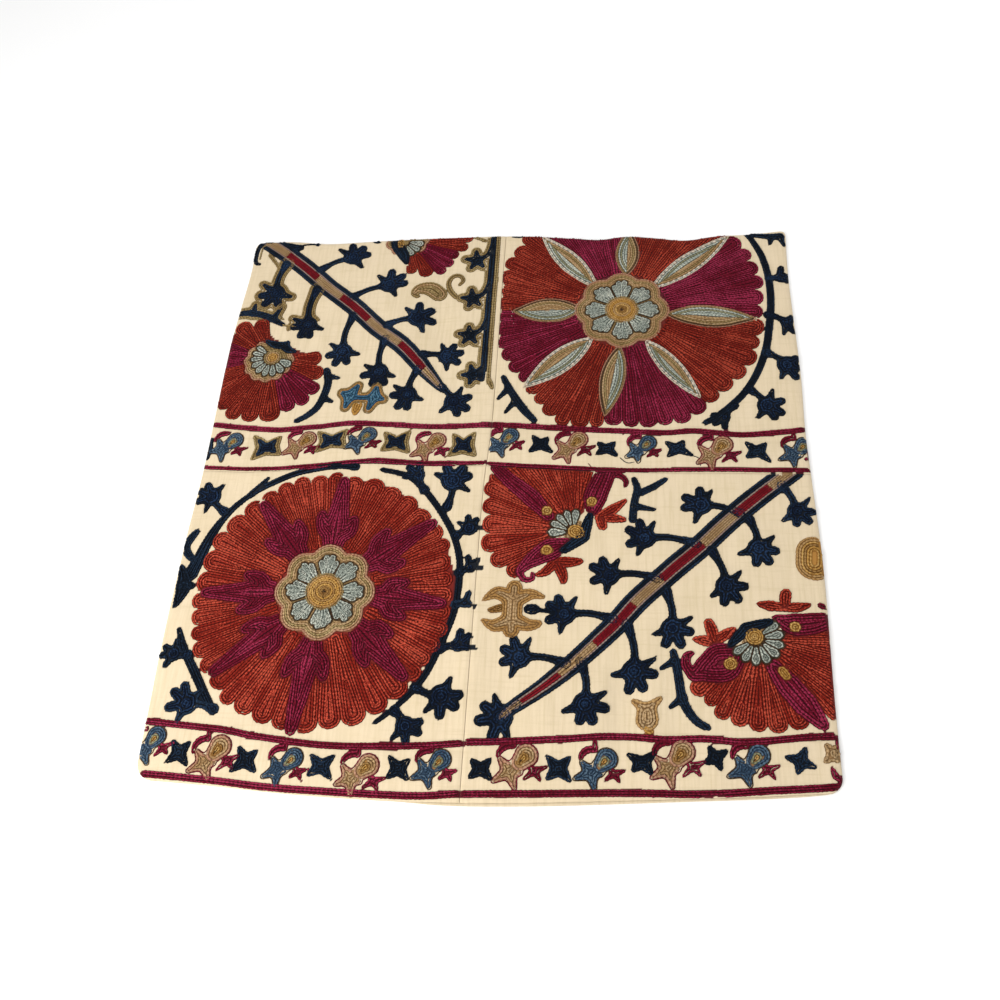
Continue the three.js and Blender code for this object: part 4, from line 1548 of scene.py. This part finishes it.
# Cloth patches: closed thin sheets whose rims roll down to the seams.
cloth = {
    "cell": 2.2,             # size of the mesh's cells
    "rimSteps": (0, 0.25, 0.7, 1.4, 2.3, 3.4, 4.6),
    "seamSteps": (0.15, 0.5, 1.1, 2.0, 3.1, 4.4),
    "thinRim": 0.35,         # thickness at the very rim, as a share
    "underside": 0.45,       # the lower face stays this near over the rim's seam
    "backCell": 6.0,
    "backSteps": (0, 1, 2.5, 4.2),
    "lipWidth": 14,          # the strip over which the back's lower edge peeps out
    "backFace": 0.9,         # where the back's upper face lies in its thickness
    "puckers": 0.12,         # the back is so much less uneven than the front
}


def patchLines(low, high, lowSteps, highSteps, cell):
    inner = low + lowSteps[-1], high - highSteps[-1]
    count = int(round((inner[1] - inner[0]) / cell))
    middle = np.linspace(inner[0], inner[1], count + 1)[1:-1]
    return np.concatenate([low + np.array(lowSteps), middle, high - np.array(highSteps)[::-1]])


def closedSheet(name, upper, under):
    # two grids of points, joined round their rims
    ny, nx = upper.shape[:2]
    vertices = np.concatenate([upper.reshape(-1, 3), under.reshape(-1, 3)])
    number = np.arange(ny * nx).reshape(ny, nx)
    a, b = number[:-1, :-1].ravel(), number[:-1, 1:].ravel()
    c, d = number[1:, 1:].ravel(), number[1:, :-1].ravel()
    rim = np.concatenate([number[0, :-1], number[:-1, -1], number[-1, :0:-1], number[:0:-1, 0]])
    ahead = np.roll(rim, -1)
    shift = ny * nx
    walls = np.stack([rim, rim + shift, ahead + shift, ahead], 1)
    faces = [np.stack([a, b, c, d], 1), np.stack([d, c, b, a], 1) + shift, walls]
    piece = meshOf(name, vertices, faces)
    giveUv(piece, "OFBake", planUv(vertices))
    return piece


def clothPiece(name, sideX, sideY):
    seamX, seamY = cover["seamX"], cover["seamY"]
    rim, seam = cloth["rimSteps"], cloth["seamSteps"]
    xs = patchLines(*((-half, seamX, rim, seam) if sideX < 0 else (seamX, half, seam, rim)),
                    cloth["cell"])
    ys = patchLines(*((-half, seamY, rim, seam) if sideY < 0 else (seamY, half, seam, rim)),
                    cloth["cell"])
    x, y = np.meshgrid(xs, ys)
    px, py = planPoint(x, y)
    top = clothTop(x, y)
    upper = toFrame(px, py, top)
    # the lower face follows the upper one and is drawn in a little at the rim
    thin = cloth["thinRim"]
    thick = cover["clothThick"] * (thin + (1 - thin) * roll(rimDistance(x, y) / cover["rimWidth"]))
    floor = cover["seamHeight"] + cover["pieceGap"] / 2 - cloth["underside"]
    lower = toFrame(px, py, np.maximum(top - thick, floor))
    piece = closedSheet(name, upper, lower)
    giveValues(piece, "worked", np.tile(paintAt(workedCells, px.ravel(), py.ravel()), 2))
    number = np.tile(paintAt(spreadPaint, px.ravel(), py.ravel()), 2)
    giveColours(piece, "ground", np.array([groundTone(yarn) for yarn in yarnNames])[number])
    return piece


def paintAt(cells, px, py):
    i = np.clip((px + paintSize / 2).round().astype(int), 0, paintSize - 1)
    j = np.clip((py + paintSize / 2).round().astype(int), 0, paintSize - 1)
    return cells[j, i]


def spreadOut(cells, reach):
    # colours run a little way past the painted cells, so that they blend with no gap
    cells = cells.copy()
    for _ in range(reach):
        for way, axis in ((1, 0), (-1, 0), (1, 1), (-1, 1)):
            beside = np.roll(cells, way, axis)
            cells = np.where(cells < 0, beside, cells)
    return cells


def closeGaps(cells):
    # narrow bare strips between two motifs take the rows' ground tone too, their fluff and painted
    # shade
    wide = cells >= 0
    for axis in (0, 1):
        wide = wide | np.roll(wide, 1, axis) | np.roll(wide, -1, axis)
    for axis in (0, 1):
        wide = wide & np.roll(wide, 1, axis) & np.roll(wide, -1, axis)
    return wide


def groundTone(yarn):
    # the cloth between the rows: in their shade, and dyed by their fluff
    return [(a + b) / 2 for a, b in zip(wool[yarn]["groove"], wool[yarn]["strand"])]


spreadPaint = spreadOut(paint, 6)
workedCells = closeGaps(paint)


def backPiece():
    cell, steps = cloth["backCell"], np.array(cloth["backSteps"])
    inner = np.linspace(-half + cell, half - cell, int(round(2 * half / cell)) - 1)
    lines = np.concatenate([steps - half, inner, half - steps[::-1]])
    x, y = np.meshgrid(lines, lines)
    px, py = planPoint(x, y)
    lip = curveThrough(backLip, x) * np.clip(1 - (y + half) / cloth["lipWidth"], 0, 1)
    rise = cover["seamHeight"] - cover["pieceGap"] / 2 - cover["backThick"]
    turned = 1 - roll(rimDistance(x, y) / cover["rimWidth"])
    foot = rise * turned
    puckers = cloth["puckers"] * wrinkles(px * 2, py * 2) * (1 - turned)
    lower = toFrame(px, py - lip, np.maximum(foot, 0))
    upper = toFrame(px, py - lip, foot + cover["backThick"] * cloth["backFace"] + puckers)
    return closedSheet("back_cloth", upper, lower)


def tone(red, green, blue):
    # a shade named by its 0 to 255 values, as the linear numbers that shaders take
    def linear(v):
        v = v / 255
        return v / 12.92 if v <= 0.04045 else ((v + 0.055) / 1.055) ** 2.4
    return (linear(red), linear(green), linear(blue), 1.0)


# Wool yarns: the finish they share, then the tone of a fresh strand, of a paler fuzzy strand that is
# also the painted highlight on the rows' crests, and of the groove between them, a painted shade that
# also colours the wool's dark flecks.
woolTones = {
    "rust": ("rust_wool", (144, 34, 20), (214, 86, 62), (28, 0, 0)),
    "brick": ("rust_wool", (130, 30, 17), (194, 74, 52), (24, 0, 0)),
    "maroon": ("maroon_wool", (112, 8, 34), (172, 48, 82), (24, 0, 6)),
    "crimson": ("maroon_wool", (128, 12, 26), (158, 32, 44), (54, 0, 8)),
    "navy": ("navy_wool", (7, 19, 33), (34, 54, 78), (1, 3, 6)),
    "indigo": ("navy_wool", (8, 23, 46), (36, 60, 94), (2, 5, 12)),
    "tan": ("tan_wool", (175, 138, 93), (210, 178, 134), (112, 84, 50)),
    "khaki": ("olive_wool", (150, 122, 76), (186, 162, 112), (76, 62, 32)),
    "sage": ("olive_wool", (136, 134, 102), (168, 164, 132), (70, 72, 46)),
    "umber": ("olive_wool", (76, 56, 38), (104, 80, 56), (36, 26, 16)),
    "grey": ("grey_blue_wool", (170, 178, 166), (226, 228, 212), (22, 32, 32)),
    "slate": ("grey_blue_wool", (58, 82, 106), (100, 124, 144), (22, 30, 46)),
    "gold": ("gold_wool", (196, 146, 70), (224, 182, 110), (122, 74, 24)),
    "amber": ("gold_wool", (176, 131, 73), (204, 164, 108), (124, 86, 44)),
    "ochre": ("gold_wool", (152, 108, 54), (182, 142, 84), (84, 52, 20)),
    "teal": ("teal_wool", (48, 88, 116), (92, 136, 160), (16, 38, 56)),
    "cream": ("cream_thread", (232, 216, 196), (244, 236, 220), (186, 160, 134)),
    "blush": ("tan_wool", (180, 130, 102), (206, 160, 130), (124, 80, 56)),
    "lilac": ("tan_wool", (158, 132, 120), (184, 160, 150), (92, 70, 62)),
}
wool = {yarn: {"slot": slot, "strand": tone(*strand), "paleAndHighlight": tone(*paleAndHighlight), "groove": tone(*groove)}
        for yarn, (slot, strand, paleAndHighlight, groove) in woolTones.items()}
woolDetail = {
    "specks": 0.75,          # how dark the wool's flecks are
    "edges": 1.0,            # painted shade between rows
    "links": 0.45,           # painted shade where one loop hangs in the next
    "crestHighlight": 0.32,           # painted highlight: how much paler the middle of a row is drawn
    "plies": 6.0,            # slanting plies in a loop
    "fuzz": 2400.0,          # fineness of the fluff, of the fibres and of the paler patches
    "grain": 950.0,
    "patches": 60.0,
    "specular": 0.15,
    "sheen": 0.06,
    "bump": 0.9,
    "relief": 0.0004,        # height of the bump, in metres
}
weave = {
    "cloth": tone(217, 199, 169),
    "slub": tone(198, 180, 145),
    "shadow": tone(174, 152, 116),
    "pitch": 0.75,           # mm between threads
    "slubsUp": (420.0, 24.0, 24.0),          # fineness of the streaks each way
    "slubsAcross": (30.0, 380.0, 30.0),
    "specular": 0.2,
    "sheen": 0.12,
    "bump": 0.7,
    "relief": 0.00022,
}


class Nodes:
    # a small helper that adds shader nodes and joins them
    def __init__(self, name):
        self.material = bpy.data.materials.new(name)
        self.material.use_nodes = True
        self.tree = self.material.node_tree
        self.tree.nodes.clear()
        self.out = self.tree.nodes.new("ShaderNodeOutputMaterial")
        self.shader = self.add("ShaderNodeBsdfPrincipled")
        self.tree.links.new(self.shader.outputs[0], self.out.inputs["Surface"])

    def add(self, kind, inputs=None, **settings):
        node = self.tree.nodes.new(kind)
        for key, value in settings.items():
            setattr(node, key, value)
        for key, value in (inputs or {}).items():
            self.put(node.inputs[key], value)
        return node

    def put(self, socket, value):
        if isinstance(value, bpy.types.NodeSocket):
            self.tree.links.new(value, socket)
        else:
            socket.default_value = value

    def math(self, operation, a, b=0.0):
        return self.add("ShaderNodeMath", {0: a, 1: b}, operation=operation).outputs[0]

    def plus(self, a, b):
        return self.math("ADD", a, b)

    def less(self, a, b):
        return self.math("SUBTRACT", a, b)

    def times(self, a, b):
        return self.math("MULTIPLY", a, b)

    def strongest(self, a, b):
        return self.math("MAXIMUM", a, b)

    def mix(self, share, a, b):
        node = self.add("ShaderNodeMix", data_type="RGBA")
        self.put(node.inputs[0], share)
        self.put(node.inputs[6], a)
        self.put(node.inputs[7], b)
        return node.outputs[2]

    def ramp(self, value, low, high):
        # from 0 at low to 1 at high
        node = self.add("ShaderNodeMapRange", {0: value, 1: low, 2: high}, clamp=True)
        return node.outputs[0]

    def noise(self, place, scale, detail=2.0, rough=0.5):
        return self.add("ShaderNodeTexNoise", {"Vector": place, "Scale": scale,
                                               "Detail": detail, "Roughness": rough}).outputs[0]

    def attribute(self, name):
        return self.add("ShaderNodeAttribute", attribute_name=name).outputs["Fac"]

    def finish(self, colour, roughness, height, look, plain):
        # the shader's own values; height becomes bump, and plain is the flat view's colour
        bump = self.add("ShaderNodeBump", {"Height": height, "Strength": look["bump"],
                                           "Distance": look["relief"]})
        settings = {"Base Color": colour, "Roughness": roughness, "Normal": bump.outputs[0],
                    "Specular IOR Level": look["specular"], "Sheen Weight": look["sheen"],
                    "Sheen Roughness": 0.5}
        for name, value in settings.items():
            self.put(self.shader.inputs[name], value)
        self.material.diffuse_color = plain
        return self.material


def woolFinish(name):
    look = wool[name]
    n = Nodes(name + "Wool")
    uv = n.add("ShaderNodeUVMap", uv_map="stitch").outputs[0]
    split = n.add("ShaderNodeSeparateXYZ", {0: uv})
    across, along = split.outputs[0], split.outputs[1]
    place = n.add("ShaderNodeTexCoord").outputs["Object"]
    shade = n.attribute("shade")
    # plies run slanting over each strand, mirrored on the two sides of a loop
    side = n.math("ABSOLUTE", n.less(across, 0.5))
    slant = n.plus(n.times(along, woolDetail["plies"]), n.times(side, woolDetail["plies"]))
    ply = n.math("ABSOLUTE", n.math("SINE", n.times(slant, math.pi)))
    fuzz = n.noise(place, woolDetail["fuzz"], 2.0, 0.7)
    grain = n.noise(place, woolDetail["grain"], 2.0, 0.7)
    patchy = n.noise(place, woolDetail["patches"], 3.0, 0.6)
    # painted shade: a loop is drawn darker where it dives through the cloth into the next
    link = n.math("ABSOLUTE", n.less(n.math("FRACT", n.plus(along, 0.5)), 0.5))
    diveShade = n.ramp(link, 0.17, 0.02)
    # painted shade: a row's sides are drawn darker, towards the groove tone, where it meets the next
    # row
    edge = n.ramp(side, 0.22, 0.39)
    # painted highlight: the crest of a row is drawn paler, where the light catches it
    crestHighlight = n.times(n.less(n.ramp(side, 0.18, 0.03), 0.4), woolDetail["crestHighlight"])
    # the strand goes towards its paler tone with random patches, rows and grain, and with the painted
    # crest highlight
    light = n.plus(n.plus(patchy, n.times(shade, 0.24)),
                   n.plus(crestHighlight, n.times(n.less(grain, 0.5), 1.3)))
    colour = n.mix(n.ramp(light, 0.45, 0.72), look["strand"], look["paleAndHighlight"])
    speck = n.less(n.plus(fuzz, grain), n.times(shade, 0.05))
    colour = n.mix(n.times(n.ramp(speck, 1.0, 0.72), woolDetail["specks"]), colour, look["groove"])
    # the painted shade between rows and where loops link takes the groove tone
    dark = n.strongest(n.times(edge, woolDetail["edges"]), n.times(diveShade, woolDetail["links"]))
    colour = n.mix(dark, colour, look["groove"])
    height = n.plus(n.times(ply, 0.6), n.plus(n.times(fuzz, 0.6), n.times(grain, 0.8)))
    n.put(n.shader.inputs["Sheen Tint"], look["paleAndHighlight"])
    return n.finish(colour, n.plus(0.8, n.times(fuzz, 0.2)), height, woolDetail, look["strand"])


def clothFinish(name, worked):
    n = Nodes(name)
    place = n.add("ShaderNodeTexCoord").outputs["Object"]
    split = n.add("ShaderNodeSeparateXYZ", {0: place})
    x, y = split.outputs[0], split.outputs[1]
    turns = 2 * math.pi / (weave["pitch"] * mm)
    wobble = n.times(n.noise(place, 60.0, 2.0), 3.0)
    warp = n.math("SINE", n.plus(n.times(x, turns), wobble))
    weft = n.math("SINE", n.plus(n.times(y, turns * 0.94), wobble))
    threads = n.strongest(warp, weft)
    # thick and thin yarn: long streaks up and across the cloth
    upright = n.add("ShaderNodeMapping", {"Vector": place, "Scale": weave["slubsUp"]}).outputs[0]
    level = n.add("ShaderNodeMapping", {"Vector": place, "Scale": weave["slubsAcross"]}).outputs[0]
    slubUp = n.noise(upright, 1.0, 3.0, 0.6)
    slubAcross = n.noise(level, 1.0, 3.0, 0.6)
    mottle = n.noise(place, 18.0, 4.0, 0.6)
    colour = n.mix(n.times(n.ramp(slubUp, 0.42, 0.70), 0.55), weave["cloth"], weave["slub"])
    colour = n.mix(n.times(n.ramp(slubAcross, 0.52, 0.75), 0.5), colour, weave["slub"])
    colour = n.mix(n.times(n.ramp(threads, 0.4, -0.9), 0.45), colour, weave["shadow"])
    colour = n.mix(n.times(n.ramp(mottle, 0.45, 0.75), 0.3), colour, weave["slub"])
    if worked:
        ground = n.add("ShaderNodeAttribute", attribute_name="ground").outputs["Color"]
        colour = n.mix(n.ramp(n.attribute("worked"), 0.38, 0.78), colour, ground)
    height = n.plus(n.times(threads, 0.45), n.plus(n.times(slubUp, 1.2), slubAcross))
    return n.finish(colour, n.plus(0.8, n.times(slubUp, 0.15)), height, weave, weave["cloth"])


def dress(piece, material):
    piece.data.materials.clear()
    piece.data.materials.append(material)
    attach(piece, "root")


sortedRows = sortRows()
print("rows:", len(rows), "with", sum(len(r["points"]) for r in rows), "points")
clothLook = clothFinish("frontCotton", True)
for name, (sideX, sideY) in patches.items():
    piece = clothPiece("cloth_" + name, sideX, sideY)
    dress(piece, clothLook)
    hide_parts("front_" + name)
print("cloth patches done")

back = backPiece()
dress(back, clothFinish("backCotton", False))
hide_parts("back_panel")

finishes = {name: woolFinish(name) for name in sorted({key[0] for key in sortedRows})}
for (yarn, number), group in sorted(sortedRows.items()):
    piece = yarnPiece(yarn + "_wool_" + patchNames[number], group)
    dress(piece, finishes[yarn])


# Camera, floor and light.
camera = {
    "place": (90.3, -395.8, 712.6),
    "aim": (3.37, -26.44, 0.0),
    "roll": 11.5,            # degrees, the top of the picture leaning to the left
    "lens": 35.48,
    "frontHeight": 5.0,      # the embroidered face lies about this high
}
lights = {
    "key": {"place": (-620, -700, 760), "size": 900, "power": 16.0, "colour": (1.0, 0.985, 0.96)},
    "fill": {"place": (500, 900, 1100), "size": 1500, "power": 10.0, "colour": (0.97, 0.985, 1.0)},
    "sky": 0.55,
}


def setCamera():
    lens = bpy.data.cameras.new("camera")
    lens.lens = camera["lens"]
    lens.sensor_width = 36.0
    lens.clip_start, lens.clip_end = 0.01, 50.0
    eye = bpy.data.objects.new("camera", lens)
    place, aim = Vector(camera["place"]), Vector(camera["aim"])
    forward = (aim - place).normalized()
    level = forward.cross(Vector((0, 0, 1))).normalized()
    upward = level.cross(forward)
    turn = math.radians(camera["roll"])
    right = level * math.cos(turn) - upward * math.sin(turn)
    up = level * math.sin(turn) + upward * math.cos(turn)
    stand = (place + Vector((planShift[0], planShift[1], camera["frontHeight"]))) * mm
    frameOf = Matrix((right, up, -forward)).transposed().to_4x4()
    eye.matrix_world = Matrix.Translation(stand) @ frameOf
    bpy.context.scene.collection.objects.link(eye)
    bpy.context.scene.camera = eye


def setLights():
    for name in ("key", "fill"):
        look = lights[name]
        lamp = bpy.data.lights.new(name, "AREA")
        lamp.size = look["size"] * mm
        lamp.energy = look["power"]
        lamp.color = look["colour"]
        stand = bpy.data.objects.new(name, lamp)
        stand.location = Vector(look["place"]) * mm
        stand.rotation_euler = (-Vector(look["place"])).to_track_quat("-Z", "Y").to_euler()
        bpy.context.scene.collection.objects.link(stand)
    world = bpy.data.worlds.new("studio")
    world.use_nodes = True
    sky = world.node_tree.nodes["Background"]
    sky.inputs["Color"].default_value = (1.0, 1.0, 1.0, 1.0)
    sky.inputs["Strength"].default_value = lights["sky"]
    bpy.context.scene.world = world
    bpy.context.scene.view_settings.view_transform = "Standard"


def setFloor():
    reach = 4.0
    floor = meshOf("studio_floor", [(-reach, -reach, 0), (reach, -reach, 0), (reach, reach, 0),
                                    (-reach, reach, 0)], [np.array([[0, 1, 2, 3]])], False)
    n = Nodes("studioFloor")
    n.put(n.shader.inputs["Base Color"], (0.93, 0.93, 0.93, 1.0))
    n.put(n.shader.inputs["Roughness"], 0.9)
    floor.data.materials.append(n.material)


setCamera()
setLights()
setFloor()
